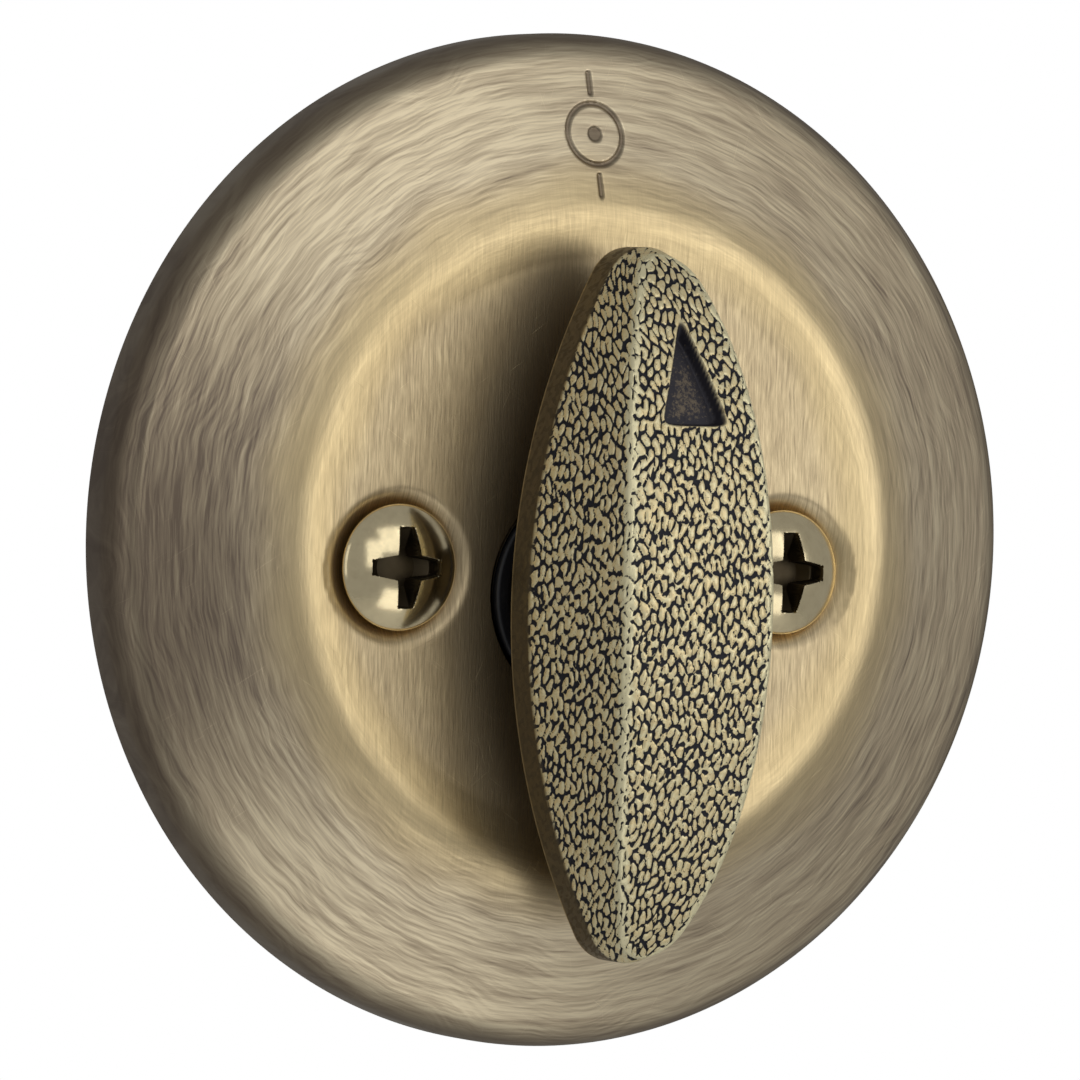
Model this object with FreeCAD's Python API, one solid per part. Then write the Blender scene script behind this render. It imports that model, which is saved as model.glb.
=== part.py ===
import FreeCAD, Part

import math
import os

# One-sided deadbolt, in millimetres.  The room is towards -Y, the door's edge is towards +X, and +Z is up.
# The origin is where the spindle's axis meets the door's inside face.
# Heights off the door towards the room are called "high", so a height h lies at y = -h.

V = FreeCAD.Vector
TURN_AXIS = V(0, -1, 0)
BORE_AXIS = V(0, 1, 0)
BOLT_AXIS = V(1, 0, 0)

# How far a cutting form runs past the face that it cuts.
CUT_PAST = 1.0

# The door that the lock is cut for.
DOOR_THICK = 35.0
BACKSET = 60.3
BOLT_Y = DOOR_THICK / 2
BOLT_Z = 3.4
THROW = 25.4

# Rose: a spun shell, concentric with the bolt's centreline and not with the spindle.
ROSE_R = 33.35
ROSE_SHEET = 1.0
RIM_HIGH = 2.1
RIM_ROUND = 2.7
CREST_R = 20.9
CREST_HIGH = 7.45
CREST_ROUND = 6.0
CREST_INNER_DEG = 4.0
PLATEAU_HIGH = 7.3
ROSE_HOLE_R = 7.25

# Dimples that the two long screws seat in.
SCREW_X = 14.3
SCREW_Z = 1.65
DIMPLE_R = 5.35
DIMPLE_LIP = 1.0
DIMPLE_SLOPE_DEG = 33.9
DIMPLE_HOLE_R = 2.9
DIMPLE_LAND = 0.5
DIMPLE_FOOT_HIGH = 4.6

# Index mark engraved above the thumb turn: a ring, a dot and two ticks.
MARK_FROM_CENTRE = 26.7
MARK_RING_R = 2.0
MARK_DOT_R = 0.5
MARK_TICK_FROM = 2.7
MARK_TICK_TO = 4.0
MARK_STROKE = 0.35
MARK_DEPTH = 0.15

# Mounting plate behind the rose.
PLATE_SHEET = 1.4
PLATE_R = 31.0
PAD_R = 20.0
PAD_HIGH = DIMPLE_FOOT_HIGH
PLATE_HOLE_R = 7.0
PLATE_SCREW_HOLE_R = 2.6

# Nylon bushing that carries the thumb turn's neck.
NECK_R = 5.10
BUSHING_BORE_R = 5.18
BUSHING_R = 7.2
BUSHING_HIGH = 7.6
BUSHING_FLANGE_R = 8.2
BUSHING_FLANGE_HIGH = 6.2
BUSHING_BOSS_R = 6.9

# Thumb turn: a pointed oval outline of two arcs with round tips, its sides leaning in to a crowned front.
TURN_CENTRE_Z = -0.45
TURN_HALF_WIDTH = 8.0
TURN_ARC_R = 46.3
TURN_TIP_R = 3.0
TURN_BACK_HIGH = 11.0
TURN_FLANGE_HIGH = 13.3
TURN_FRONT_HIGH = 21.75
TURN_ARCH_R = 48.0
TURN_SIDE_LEAN = 2.6
TURN_LEAST_FRONT = 0.55
TURN_CROWN = 0.35
TURN_TIP_DROP = 0.6
TURN_STATIONS = 9
TURN_END_FLAT = 0.02
NECK_END_Y = 3.0
ARROW_Z = 15.55
ARROW_HEIGHT = 7.46
ARROW_BASE = 5.03
ARROW_DEPTH = 1.0
ARROW_CORNER_R = 0.4

# Retaining ring and spring washer below the mounting plate.
RING_GROOVE_R = 4.3
RING_HIGH = 1.6
RING_THICK = 0.75
GROOVE_WIDTH = 0.8
RING_R = 7.4
RING_GAP = 4.4
WASHER_R = 8.0
WASHER_BORE_R = 5.4
WASHER_BEND_R = 60.0
WASHER_THICK = 0.22
WASHER_TOP_HIGH = 3.12

# Torque blade from the thumb turn to the bolt's crank.
BLADE_WIDE = 2.4
BLADE_TALL = 6.4
BLADE_START_Y = -5.5
BLADE_END_Y = 24.5
BLADE_SLOT_PLAY = 0.2
BLADE_END_PLAY = 0.5
BLADE_PIN_R = 1.0
BLADE_PIN_Y = 1.5
PIN_HOLE_PLAY = 0.02

# Number 8 screws: oval heads on the rose, flat heads on the faceplate.
SCREW_R = 2.08
SCREW_HEAD_R = 4.1
SCREW_HEAD_HALF_DEG = 41.0
SCREW_EDGE_HIGH = 7.25
SCREW_EDGE_LAND = 0.2
SCREW_DOME = 1.5
SCREW_LENGTH = 28.6
SCREW_END_BEVEL = 0.5
RECESS_SPAN = 5.2
RECESS_ARM = 1.1
RECESS_DEPTH = 2.2
RECESS_FOOT_R = 1.0
SLOT_LENGTH = 5.6
SLOT_WIDE = 0.95
SLOT_DEPTH = 1.3
FACE_SCREW_HEAD_R = 3.9
FACE_SCREW_LENGTH = 19.0
FACE_SCREW_TIP = 3.0
FACE_SCREW_POINT_R = 0.2
FACE_RECESS_DEPTH = 1.5
FACE_SCREW_SPACING = 41.28
FACE_SCREW_HOLE_R = 2.3
BACKING_HOLE_R = 3.3

# Bolt case: a channel and its cover, with threaded posts for the long screws.
CASE_SHEET = 1.2
CASE_NEAR_Y = 11.5
CASE_FAR_Y = 23.5
CASE_BACK_X = -20.0
CASE_FRONT_X = 18.6
CASE_LOW_Z = -7.6
CASE_HIGH_Z = 14.4
CASE_OPEN_HALF = 17.5
POST_R = 3.2
POST_BORE_R = 2.15
RIVET_R = 1.2
RIVET_HEAD_R = 2.1
RIVET_HEAD = 0.8
RIVET_PLACES = ((-17.4, -4.0), (-17.4, 6.2), (15.6, -4.6))

# Crank that swings the bolt, and the leaf spring that holds it locked or unlocked.
CRANK_R = 5.8
CRANK_FLAT = 5.0
JOURNAL_R = 5.2
JOURNAL_HOLE_R = 5.28
JOURNAL_PROUD = 0.2
CRANK_SIDE_PLAY = 0.15
ARM_THICK = 4.0
ARM_HALF_WIDTH = 4.5
ARM_REACH = 19.0
ARM_REST_DEG = 45.0
FORK_SLOT = 5.5
FORK_FROM = 10.9
SPRING_THICK = 0.5
SPRING_WIDE = 3.6
SPRING_HALF_SPAN = 9.0
SPRING_GAP = 0.05
SPRING_FOOT = 1.8

# Barrel, plates and the bolt itself.
BARREL_R = 11.5
BARREL_BORE_R = 10.6
BARREL_FLANGE_R = 12.5
BARREL_FLANGE = 1.5
EDGE_PLATE_SHEET = 1.5
EDGE_PLATE_TALL = 57.15
EDGE_PLATE_WIDE = 25.4
EDGE_PLATE_CORNER = 6.35
BOLT_R = 10.3
BOLT_HALF_THICK = 7.9
BOLT_PLAY = 0.4
BOLT_LENGTH = 40.3
BOLT_CHAMFER = 1.0
GUARD_PIN_R = 1.6
GUARD_PIN_OFFSET = 4.2
GUARD_PIN_DROP = 3.0
GUARD_PIN_LENGTH = 27.0
GUARD_PIN_COVER = 2.7
TAIL_SHEET = 1.5
TAIL_GAP = 5.6
TAIL_LOW_Z = 7.3
TAIL_HIGH_Z = 12.6
TAIL_POCKET = 6.8
TAIL_RIVET_R = 1.1
TAIL_RIVET_PITCH = 3.2
TAIL_RIVET_Z = 9.6
DRIVE_PIN_R = 1.5
DRIVE_PIN_AT = 12.7
TAIL_EAR_R = 2.5


def at(x, high, z):
    """A point given by its place across, its height off the door and its level."""
    return V(x, -high, z)


def box(x0, x1, y0, y1, z0, z1):
    """A box between two opposite corners."""
    return Part.makeBox(x1 - x0, y1 - y0, z1 - z0, V(x0, y0, z0))


def rod_y(radius, y0, y1, x=0.0, z=0.0):
    """A rod along Y."""
    return Part.makeCylinder(radius, y1 - y0, V(x, y0, z), BORE_AXIS)


def rod_x(radius, x0, x1, y=BOLT_Y, z=BOLT_Z):
    """A rod along X."""
    return Part.makeCylinder(radius, x1 - x0, V(x0, y, z), BOLT_AXIS)


def high_rod(radius, low, high, x=0.0, z=0.0):
    """A rod along Y between two heights off the door."""
    return rod_y(radius, -high, -low, x, z)


def join(shapes):
    """One clean solid from several that meet."""
    first, *others = shapes
    return first.fuse(others).removeSplitter() if others else first


def line(start, end):
    """A straight edge between two (radius, height) points."""
    return Part.LineSegment(at(start[0], start[1], 0), at(end[0], end[1], 0)).toShape()


def arc(centre, radius, start_deg, end_deg):
    """An arc in the (radius, height) plane, its angles measured from the radius direction."""
    middle_deg = (start_deg + end_deg) / 2
    points = [polar(centre, radius, angle) for angle in (start_deg, middle_deg, end_deg)]
    return Part.Arc(*[at(r, h, 0) for r, h in points]).toShape()


def polar(centre, radius, angle_deg):
    """The point at an angle on a circle in the (radius, height) plane."""
    angle = math.radians(angle_deg)
    return centre[0] + radius * math.cos(angle), centre[1] + radius * math.sin(angle)


def spun(edges, x=0.0, z=0.0):
    """A solid of revolution about the line along Y through (x, z)."""
    solid = Part.Face(Part.Wire(edges)).revolve(V(0, 0, 0), BORE_AXIS, 360)
    solid.translate(V(x, 0, z))
    return solid


def rose_body(inset, foot=0.0):
    """The rose's full outer form, drawn inwards by an even inset and closed at a foot height."""
    rim_centre = (ROSE_R - RIM_ROUND, RIM_HIGH)
    crest_centre = (CREST_R, CREST_HIGH - CREST_ROUND)
    reach = math.dist(rim_centre, crest_centre)
    fall = math.atan2(rim_centre[1] - crest_centre[1], rim_centre[0] - crest_centre[0])
    band_deg = math.degrees(math.asin((CREST_ROUND - RIM_ROUND) / reach) - fall)
    rim_round = RIM_ROUND - inset
    crest_round = CREST_ROUND - inset
    rim_end = polar(rim_centre, rim_round, 90 - band_deg)
    crest_start = polar(crest_centre, crest_round, 90 - band_deg)
    crest_end = polar(crest_centre, crest_round, 90 + CREST_INNER_DEG)
    top = PLATEAU_HIGH - inset
    dish_r = crest_end[0] - (crest_end[1] - top) / math.tan(math.radians(CREST_INNER_DEG))
    edges = [
        line((ROSE_R - inset, foot), (ROSE_R - inset, RIM_HIGH)),
        arc(rim_centre, rim_round, 0, 90 - band_deg),
        line(rim_end, crest_start),
        arc(crest_centre, crest_round, 90 - band_deg, 90 + CREST_INNER_DEG),
        line(crest_end, (dish_r, top)),
        line((dish_r, top), (0, top)),
        line((0, top), (0, foot)),
        line((0, foot), (ROSE_R - inset, foot)),
    ]
    return spun(edges, z=BOLT_Z)


def dimple_cutter(x):
    """The hollow of one screw's dimple: a rounded lip, a cone and the screw's hole."""
    lip_centre = (DIMPLE_R, PLATEAU_HIGH - DIMPLE_LIP)
    lip_end = polar(lip_centre, DIMPLE_LIP, 90 + DIMPLE_SLOPE_DEG)
    slope = math.tan(math.radians(DIMPLE_SLOPE_DEG))
    hole_high = lip_end[1] - slope * (lip_end[0] - DIMPLE_HOLE_R)
    clear = PLATEAU_HIGH + DIMPLE_LIP
    edges = [
        line((0, 0), (DIMPLE_HOLE_R, 0)),
        line((DIMPLE_HOLE_R, 0), (DIMPLE_HOLE_R, hole_high)),
        line((DIMPLE_HOLE_R, hole_high), lip_end),
        arc(lip_centre, DIMPLE_LIP, 90 + DIMPLE_SLOPE_DEG, 90),
        line((DIMPLE_R, PLATEAU_HIGH), (DIMPLE_R, clear)),
        line((DIMPLE_R, clear), (0, clear)),
        line((0, clear), (0, 0)),
    ]
    return spun(edges, x, SCREW_Z)


def dimple_cup(x):
    """The sheet pressed down around one dimple, down to the mounting plate's pad."""
    foot_r = DIMPLE_HOLE_R + DIMPLE_LAND
    rise = PLATEAU_HIGH - ROSE_SHEET / 2 - DIMPLE_FOOT_HIGH
    top_r = foot_r + rise / math.tan(math.radians(DIMPLE_SLOPE_DEG))
    foot = at(x, DIMPLE_FOOT_HIGH, SCREW_Z)
    return Part.makeCone(foot_r, top_r, rise, foot, TURN_AXIS)


def mark_prism():
    """The index mark's strokes as upright prisms through the rose's band."""
    level = BOLT_Z + MARK_FROM_CENTRE
    half = MARK_STROKE / 2
    ring = high_rod(MARK_RING_R + half, 0, CREST_HIGH, 0, level)
    ring = ring.cut(high_rod(MARK_RING_R - half, 0, CREST_HIGH, 0, level))
    strokes = [ring, high_rod(MARK_DOT_R, 0, CREST_HIGH, 0, level)]
    for low, high in ((MARK_TICK_FROM, MARK_TICK_TO), (-MARK_TICK_TO, -MARK_TICK_FROM)):
        strokes.append(box(-half, half, -CREST_HIGH, 0, level + low, level + high))
    return Part.makeCompound(strokes)


def rose():
    """The spun brass rose with its screw dimples, spindle hole and engraved mark."""
    outer = rose_body(0)
    shell = outer.cut(rose_body(ROSE_SHEET, -ROSE_SHEET))
    shell = join([shell] + [dimple_cup(x) for x in (-SCREW_X, SCREW_X)])
    for x in (-SCREW_X, SCREW_X):
        shell = shell.cut(dimple_cutter(x))
    shell = shell.cut(high_rod(ROSE_HOLE_R, 0, CREST_HIGH + CUT_PAST))
    skin = outer.cut(rose_body(MARK_DEPTH, -ROSE_SHEET))
    return shell.cut(mark_prism().common(skin))


def mounting_plate():
    """The steel plate behind the rose: a flange on the door and a raised pad."""
    flange = high_rod(PLATE_R, 0, PLATE_SHEET, 0, BOLT_Z)
    skirt = high_rod(PAD_R, 0, PAD_HIGH, 0, BOLT_Z)
    hollow = high_rod(PAD_R - PLATE_SHEET, 0, PAD_HIGH - PLATE_SHEET, 0, BOLT_Z)
    plate = join([flange, skirt]).cut(hollow)
    plate = plate.cut(high_rod(PLATE_HOLE_R, 0, PAD_HIGH))
    for x in (-SCREW_X, SCREW_X):
        plate = plate.cut(high_rod(PLATE_SCREW_HOLE_R, 0, PAD_HIGH, x, SCREW_Z))
    return plate


def turn_bushing():
    """The nylon bushing, flanged between the plate and the rose."""
    body = high_rod(BUSHING_R, PAD_HIGH, BUSHING_HIGH)
    flange = high_rod(BUSHING_FLANGE_R, PAD_HIGH, BUSHING_FLANGE_HIGH)
    boss = high_rod(BUSHING_BOSS_R, PAD_HIGH - PLATE_SHEET, PAD_HIGH)
    return join([body, flange, boss]).cut(high_rod(BUSHING_BORE_R, 0, BUSHING_HIGH))


def turn_tip_centre():
    """How far the round tip's centre lies from the middle of the thumb turn."""
    offset = TURN_ARC_R - TURN_HALF_WIDTH
    return math.sqrt((TURN_ARC_R - TURN_TIP_R) ** 2 - offset**2)


def turn_half_width(z):
    """Half the width of the thumb turn's outline at a level."""
    centre = turn_tip_centre()
    tangent = TURN_ARC_R * centre / (TURN_ARC_R - TURN_TIP_R)
    if abs(z) < tangent:
        return math.sqrt(TURN_ARC_R**2 - z**2) - (TURN_ARC_R - TURN_HALF_WIDTH)
    return math.sqrt(max(0.0, TURN_TIP_R**2 - (abs(z) - centre) ** 2))


def turn_front_high(z):
    """The height of the front face's edge at a level: an arch that falls away at the tips."""
    past = max(0.0, abs(z) - turn_tip_centre()) / TURN_TIP_R
    return TURN_FRONT_HIGH - TURN_ARCH_R + math.sqrt(TURN_ARCH_R**2 - z**2) - TURN_TIP_DROP * past**2


def turn_section(z):
    """The closed outline across the thumb turn at a level."""
    side = turn_half_width(z)
    top = turn_front_high(z)
    rise = (top - TURN_FLANGE_HIGH) / (TURN_FRONT_HIGH - TURN_FLANGE_HIGH)
    front = max(TURN_LEAST_FRONT * side, side - TURN_SIDE_LEAN * rise**2)
    crown = top + TURN_CROWN * side / TURN_HALF_WIDTH
    corners = [
        at(-front, top, z),
        at(-side, TURN_FLANGE_HIGH, z),
        at(-side, TURN_BACK_HIGH, z),
        at(side, TURN_BACK_HIGH, z),
        at(side, TURN_FLANGE_HIGH, z),
        at(front, top, z),
    ]
    edges = [Part.LineSegment(a, b).toShape() for a, b in zip(corners, corners[1:])]
    edges.append(Part.Arc(corners[-1], at(0, crown, z), corners[0]).toShape())
    return Part.Wire(edges)


def arrow_cutter():
    """The arrow-shaped recess, square to the arched front face."""
    surface = turn_front_high(ARROW_Z) + TURN_CROWN * turn_half_width(ARROW_Z) / TURN_HALF_WIDTH
    base = -ARROW_HEIGHT / 2
    corners = [V(-ARROW_BASE / 2, 0, base), V(ARROW_BASE / 2, 0, base), V(0, 0, -base)]
    outline = Part.makePolygon(corners + corners[:1])
    prism = Part.Face(outline).extrude(V(0, -2 * ARROW_DEPTH, 0))
    upright = [e for e in prism.Edges if abs(e.tangentAt(e.FirstParameter).y) > 0.99]
    prism = prism.makeFillet(ARROW_CORNER_R, upright)
    prism.translate(V(0, ARROW_DEPTH, 0))
    prism.rotate(V(0, 0, 0), V(1, 0, 0), -math.degrees(math.asin(ARROW_Z / TURN_ARCH_R)))
    prism.translate(at(0, surface, ARROW_Z))
    return prism


def turn_piece():
    """The thumb turn with its neck, ring groove and blade slot."""
    length = turn_tip_centre() + TURN_TIP_R - TURN_END_FLAT
    steps = range(-TURN_STATIONS, TURN_STATIONS + 1)
    levels = [length * math.sin(math.pi / 2 * i / TURN_STATIONS) for i in steps]
    head = Part.makeLoft([turn_section(z) for z in levels], True, False)
    head = head.cut(arrow_cutter())
    head.translate(V(0, 0, TURN_CENTRE_Z))
    neck = rod_y(NECK_R, -TURN_BACK_HIGH - CUT_PAST, NECK_END_Y)
    groove = high_rod(NECK_R + CUT_PAST, RING_HIGH, RING_HIGH + GROOVE_WIDTH)
    groove = groove.cut(high_rod(RING_GROOVE_R, RING_HIGH, RING_HIGH + GROOVE_WIDTH))
    turn = head.fuse(neck).cut(groove).cut(blade_pin(PIN_HOLE_PLAY))
    return turn.cut(blade_slot(BLADE_START_Y - BLADE_END_PLAY, NECK_END_Y))


def blade_slot(y0, y1):
    """The space for the torque blade, with play all round."""
    half_wide = BLADE_WIDE / 2 + BLADE_SLOT_PLAY / 2
    half_tall = BLADE_TALL / 2 + BLADE_SLOT_PLAY / 2
    return box(-half_wide, half_wide, y0, y1, -half_tall, half_tall)


def wave_washer():
    """A bowed spring washer: a flat ring bent about a line along X."""
    ring = high_rod(WASHER_R, RING_HIGH, BUSHING_HIGH).cut(high_rod(WASHER_BORE_R, RING_HIGH, BUSHING_HIGH))
    centre = at(-WASHER_R, WASHER_TOP_HIGH - WASHER_BEND_R, 0)
    outer = Part.makeCylinder(WASHER_BEND_R, 2 * WASHER_R, centre, BOLT_AXIS)
    inner = Part.makeCylinder(WASHER_BEND_R - WASHER_THICK, 2 * WASHER_R, centre, BOLT_AXIS)
    return ring.common(outer.cut(inner))


def retaining_ring():
    """The open ring in the neck's groove."""
    top = RING_HIGH + RING_THICK
    ring = high_rod(RING_R, RING_HIGH, top).cut(high_rod(RING_GROOVE_R, RING_HIGH, top))
    return ring.cut(box(-RING_GAP, RING_GAP, -top, -RING_HIGH, -RING_R, 0))


def torque_blade():
    """The flat bar that carries the turn into the bolt case."""
    half_wide = BLADE_WIDE / 2
    half_tall = BLADE_TALL / 2
    bar = box(-half_wide, half_wide, BLADE_START_Y, BLADE_END_Y, -half_tall, half_tall)
    return bar.cut(blade_pin(PIN_HOLE_PLAY))


def blade_pin(play=0.0):
    """The cross pin that holds the blade in the neck."""
    half = math.sqrt(NECK_R**2 - BLADE_PIN_R**2) + play
    return rod_x(BLADE_PIN_R + play, -half, half, BLADE_PIN_Y, 0)


def oval_screw(x):
    """One oval-head screw with a cross recess and a driver slot."""
    cone = (SCREW_HEAD_R - SCREW_R) / math.tan(math.radians(SCREW_HEAD_HALF_DEG))
    dome_edge = SCREW_EDGE_HIGH + SCREW_EDGE_LAND
    dome_r = (SCREW_HEAD_R**2 + SCREW_DOME**2) / (2 * SCREW_DOME)
    dome_top = dome_edge + SCREW_DOME
    edge_deg = math.degrees(math.acos(SCREW_HEAD_R / dome_r))
    end = SCREW_EDGE_HIGH - SCREW_LENGTH
    edges = [
        line((0, end), (SCREW_R - SCREW_END_BEVEL, end)),
        line((SCREW_R - SCREW_END_BEVEL, end), (SCREW_R, end + SCREW_END_BEVEL)),
        line((SCREW_R, end + SCREW_END_BEVEL), (SCREW_R, SCREW_EDGE_HIGH - cone)),
        line((SCREW_R, SCREW_EDGE_HIGH - cone), (SCREW_HEAD_R, SCREW_EDGE_HIGH)),
        line((SCREW_HEAD_R, SCREW_EDGE_HIGH), (SCREW_HEAD_R, dome_edge)),
        arc((0, dome_top - dome_r), dome_r, edge_deg, 90),
        line((0, dome_top), (0, end)),
    ]
    screw = spun(edges, x, SCREW_Z)
    return screw.cut(cross_recess(x, dome_top)).cut(driver_slot(x, dome_top))


def cross_recess(x, top):
    """Two crossed arms that narrow with depth."""
    half_arm = RECESS_ARM / 2
    half_span = RECESS_SPAN / 2
    foot = top - RECESS_DEPTH
    across = box(x - half_span, x + half_span, -top, -foot, SCREW_Z - half_arm, SCREW_Z + half_arm)
    upright = box(x - half_arm, x + half_arm, -top, -foot, SCREW_Z - half_span, SCREW_Z + half_span)
    taper = Part.makeCone(RECESS_FOOT_R, half_span, RECESS_DEPTH, at(x, foot, SCREW_Z), TURN_AXIS)
    return join([across, upright]).common(taper)


def driver_slot(x, top):
    """A straight level slot over the cross."""
    half_long = SLOT_LENGTH / 2
    half_wide = SLOT_WIDE / 2
    foot = top - SLOT_DEPTH
    return box(x - half_long, x + half_long, -top, -foot, SCREW_Z - half_wide, SCREW_Z + half_wide)


def mounting_screws():
    """The two long screws through the rose."""
    return Part.makeCompound([oval_screw(x) for x in (-SCREW_X, SCREW_X)])


def case_channel():
    """The bolt case: near wall, back wall and flanges, open above where the crank swings out."""
    sheet = CASE_SHEET
    near_in = CASE_NEAR_Y + sheet
    far_in = CASE_FAR_Y - sheet
    walls = [
        box(CASE_BACK_X, CASE_FRONT_X, CASE_NEAR_Y, near_in, CASE_LOW_Z, CASE_HIGH_Z),
        box(CASE_BACK_X, CASE_BACK_X + sheet, near_in, far_in, CASE_LOW_Z, CASE_HIGH_Z),
        box(CASE_BACK_X, CASE_FRONT_X, near_in, far_in, CASE_LOW_Z, CASE_LOW_Z + sheet),
        box(CASE_BACK_X, -CASE_OPEN_HALF, near_in, far_in, CASE_HIGH_Z - sheet, CASE_HIGH_Z),
        box(CASE_OPEN_HALF, CASE_FRONT_X, near_in, far_in, CASE_HIGH_Z - sheet, CASE_HIGH_Z),
    ]
    channel = join(walls).cut(rod_y(JOURNAL_HOLE_R, CASE_NEAR_Y, near_in))
    for x in (-SCREW_X, SCREW_X):
        channel = channel.cut(rod_y(FACE_SCREW_HOLE_R, CASE_NEAR_Y, near_in, x, SCREW_Z))
    for x, z in RIVET_PLACES:
        channel = channel.cut(rod_y(RIVET_R, CASE_NEAR_Y, near_in, x, z))
    return channel


def case_cover():
    """The flat cover on the far side of the bolt case."""
    near = CASE_FAR_Y - CASE_SHEET
    cover = box(CASE_BACK_X, CASE_FRONT_X, near, CASE_FAR_Y, CASE_LOW_Z, CASE_HIGH_Z)
    cover = cover.cut(rod_y(JOURNAL_HOLE_R, near, CASE_FAR_Y))
    for x, z in RIVET_PLACES:
        cover = cover.cut(rod_y(RIVET_R, near, CASE_FAR_Y, x, z))
    return cover


def clamp_posts():
    """The two threaded posts that the long screws pull on."""
    near = CASE_NEAR_Y + CASE_SHEET
    far = CASE_FAR_Y - CASE_SHEET
    posts = []
    for x in (-SCREW_X, SCREW_X):
        post = rod_y(POST_R, near, far, x, SCREW_Z)
        posts.append(post.cut(rod_y(POST_BORE_R, near, far, x, SCREW_Z)))
    return Part.makeCompound(posts)


def case_rivets():
    """The rivets that hold the cover on the channel."""
    rivets = []
    for x, z in RIVET_PLACES:
        shank = rod_y(RIVET_R, CASE_NEAR_Y, CASE_FAR_Y, x, z)
        near_head = rod_y(RIVET_HEAD_R, CASE_NEAR_Y - RIVET_HEAD, CASE_NEAR_Y, x, z)
        far_head = rod_y(RIVET_HEAD_R, CASE_FAR_Y, CASE_FAR_Y + RIVET_HEAD, x, z)
        rivets.append(join([shank, near_head, far_head]))
    return Part.makeCompound(rivets)


def crank():
    """The hub that the blade turns, with its forked arm and two detent flats."""
    near = CASE_NEAR_Y + CASE_SHEET + CRANK_SIDE_PLAY
    far = CASE_FAR_Y - CASE_SHEET - CRANK_SIDE_PLAY
    hub = rod_y(CRANK_R, near, far)
    journal = rod_y(JOURNAL_R, CASE_NEAR_Y - JOURNAL_PROUD, CASE_FAR_Y + JOURNAL_PROUD)
    arm_near = BOLT_Y - ARM_THICK / 2
    arm_far = BOLT_Y + ARM_THICK / 2
    arm = box(0, ARM_REACH, arm_near, arm_far, -ARM_HALF_WIDTH, ARM_HALF_WIDTH)
    arm = arm.cut(box(FORK_FROM, ARM_REACH, arm_near, arm_far, -FORK_SLOT / 2, FORK_SLOT / 2))
    arm.rotate(V(0, 0, 0), TURN_AXIS, ARM_REST_DEG)
    body = join([hub, journal, arm])
    body = body.cut(box(-CRANK_R, CRANK_R, near, far, -CRANK_R, -CRANK_FLAT))
    body = body.cut(box(-CRANK_R, -CRANK_FLAT, near, far, -CRANK_R, CRANK_R))
    return body.cut(blade_slot(CASE_NEAR_Y - CUT_PAST, CASE_FAR_Y + CUT_PAST))


def detent_spring():
    """The leaf under the hub, standing on two feet on the case's lower flange."""
    y0 = BOLT_Y - SPRING_WIDE / 2
    y1 = BOLT_Y + SPRING_WIDE / 2
    top = -CRANK_FLAT - SPRING_GAP
    floor = CASE_LOW_Z + CASE_SHEET
    parts = [box(-SPRING_HALF_SPAN, SPRING_HALF_SPAN, y0, y1, top - SPRING_THICK, top)]
    for side in (-1, 1):
        outer = side * SPRING_HALF_SPAN
        leg = sorted((outer, outer - side * SPRING_THICK))
        foot = sorted((outer - side * SPRING_THICK, outer + side * SPRING_FOOT))
        parts.append(box(*leg, y0, y1, floor, top))
        parts.append(box(*foot, y0, y1, floor, floor + SPRING_THICK))
    return join(parts)


def bolt_barrel():
    """The round housing that guides the bolt, flanged against the case."""
    end = BACKSET - EDGE_PLATE_SHEET
    tube = rod_x(BARREL_R, CASE_FRONT_X, end)
    flange = rod_x(BARREL_FLANGE_R, CASE_FRONT_X, CASE_FRONT_X + BARREL_FLANGE)
    return join([tube, flange]).cut(rod_x(BARREL_BORE_R, CASE_FRONT_X, end))


def bolt_form(x0, x1, play=0.0):
    """A round bar with two flats, as the bolt and the openings it passes through."""
    bar = rod_x(BOLT_R + play, x0, x1)
    reach = BOLT_R + CUT_PAST
    half = BOLT_HALF_THICK + play
    return bar.common(box(x0, x1, BOLT_Y - half, BOLT_Y + half, BOLT_Z - reach, BOLT_Z + reach))


def edge_plate(x0, x1):
    """A plate with round corners on the door's edge."""
    half_tall = EDGE_PLATE_TALL / 2
    half_wide = EDGE_PLATE_WIDE / 2
    plate = box(x0, x1, BOLT_Y - half_wide, BOLT_Y + half_wide, BOLT_Z - half_tall, BOLT_Z + half_tall)
    corners = [e for e in plate.Edges if abs(e.tangentAt(e.FirstParameter).x) > 0.99]
    return plate.makeFillet(EDGE_PLATE_CORNER, corners)


def face_screw_levels():
    """The levels of the two screws in the door's edge."""
    return [BOLT_Z + side * FACE_SCREW_SPACING / 2 for side in (-1, 1)]


def face_screw_head(z, play):
    """The flat head's cone, flush with the faceplate."""
    depth = (FACE_SCREW_HEAD_R - SCREW_R) / math.tan(math.radians(SCREW_HEAD_HALF_DEG))
    start = V(BACKSET - depth, BOLT_Y, z)
    return Part.makeCone(SCREW_R + play, FACE_SCREW_HEAD_R + play, depth, start, BOLT_AXIS)


def backing_plate():
    """The plate behind the faceplate: the barrel ends inside it, and the wood screws pass it freely."""
    x0 = BACKSET - 2 * EDGE_PLATE_SHEET
    x1 = BACKSET - EDGE_PLATE_SHEET
    plate = edge_plate(x0, x1).cut(rod_x(BARREL_R + PIN_HOLE_PLAY, x0, x1))
    for z in face_screw_levels():
        plate = plate.cut(rod_x(BACKING_HOLE_R, x0, x1, BOLT_Y, z))
    return plate


def faceplate():
    """The finished plate flush with the door's edge, pierced for the bolt and countersunk for its screws."""
    x0 = BACKSET - EDGE_PLATE_SHEET
    plate = edge_plate(x0, BACKSET).cut(bolt_form(x0, BACKSET, BOLT_PLAY))
    for z in face_screw_levels():
        plate = plate.cut(rod_x(FACE_SCREW_HOLE_R, x0, BACKSET, BOLT_Y, z))
        plate = plate.cut(face_screw_head(z, PIN_HOLE_PLAY))
    return plate


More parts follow.
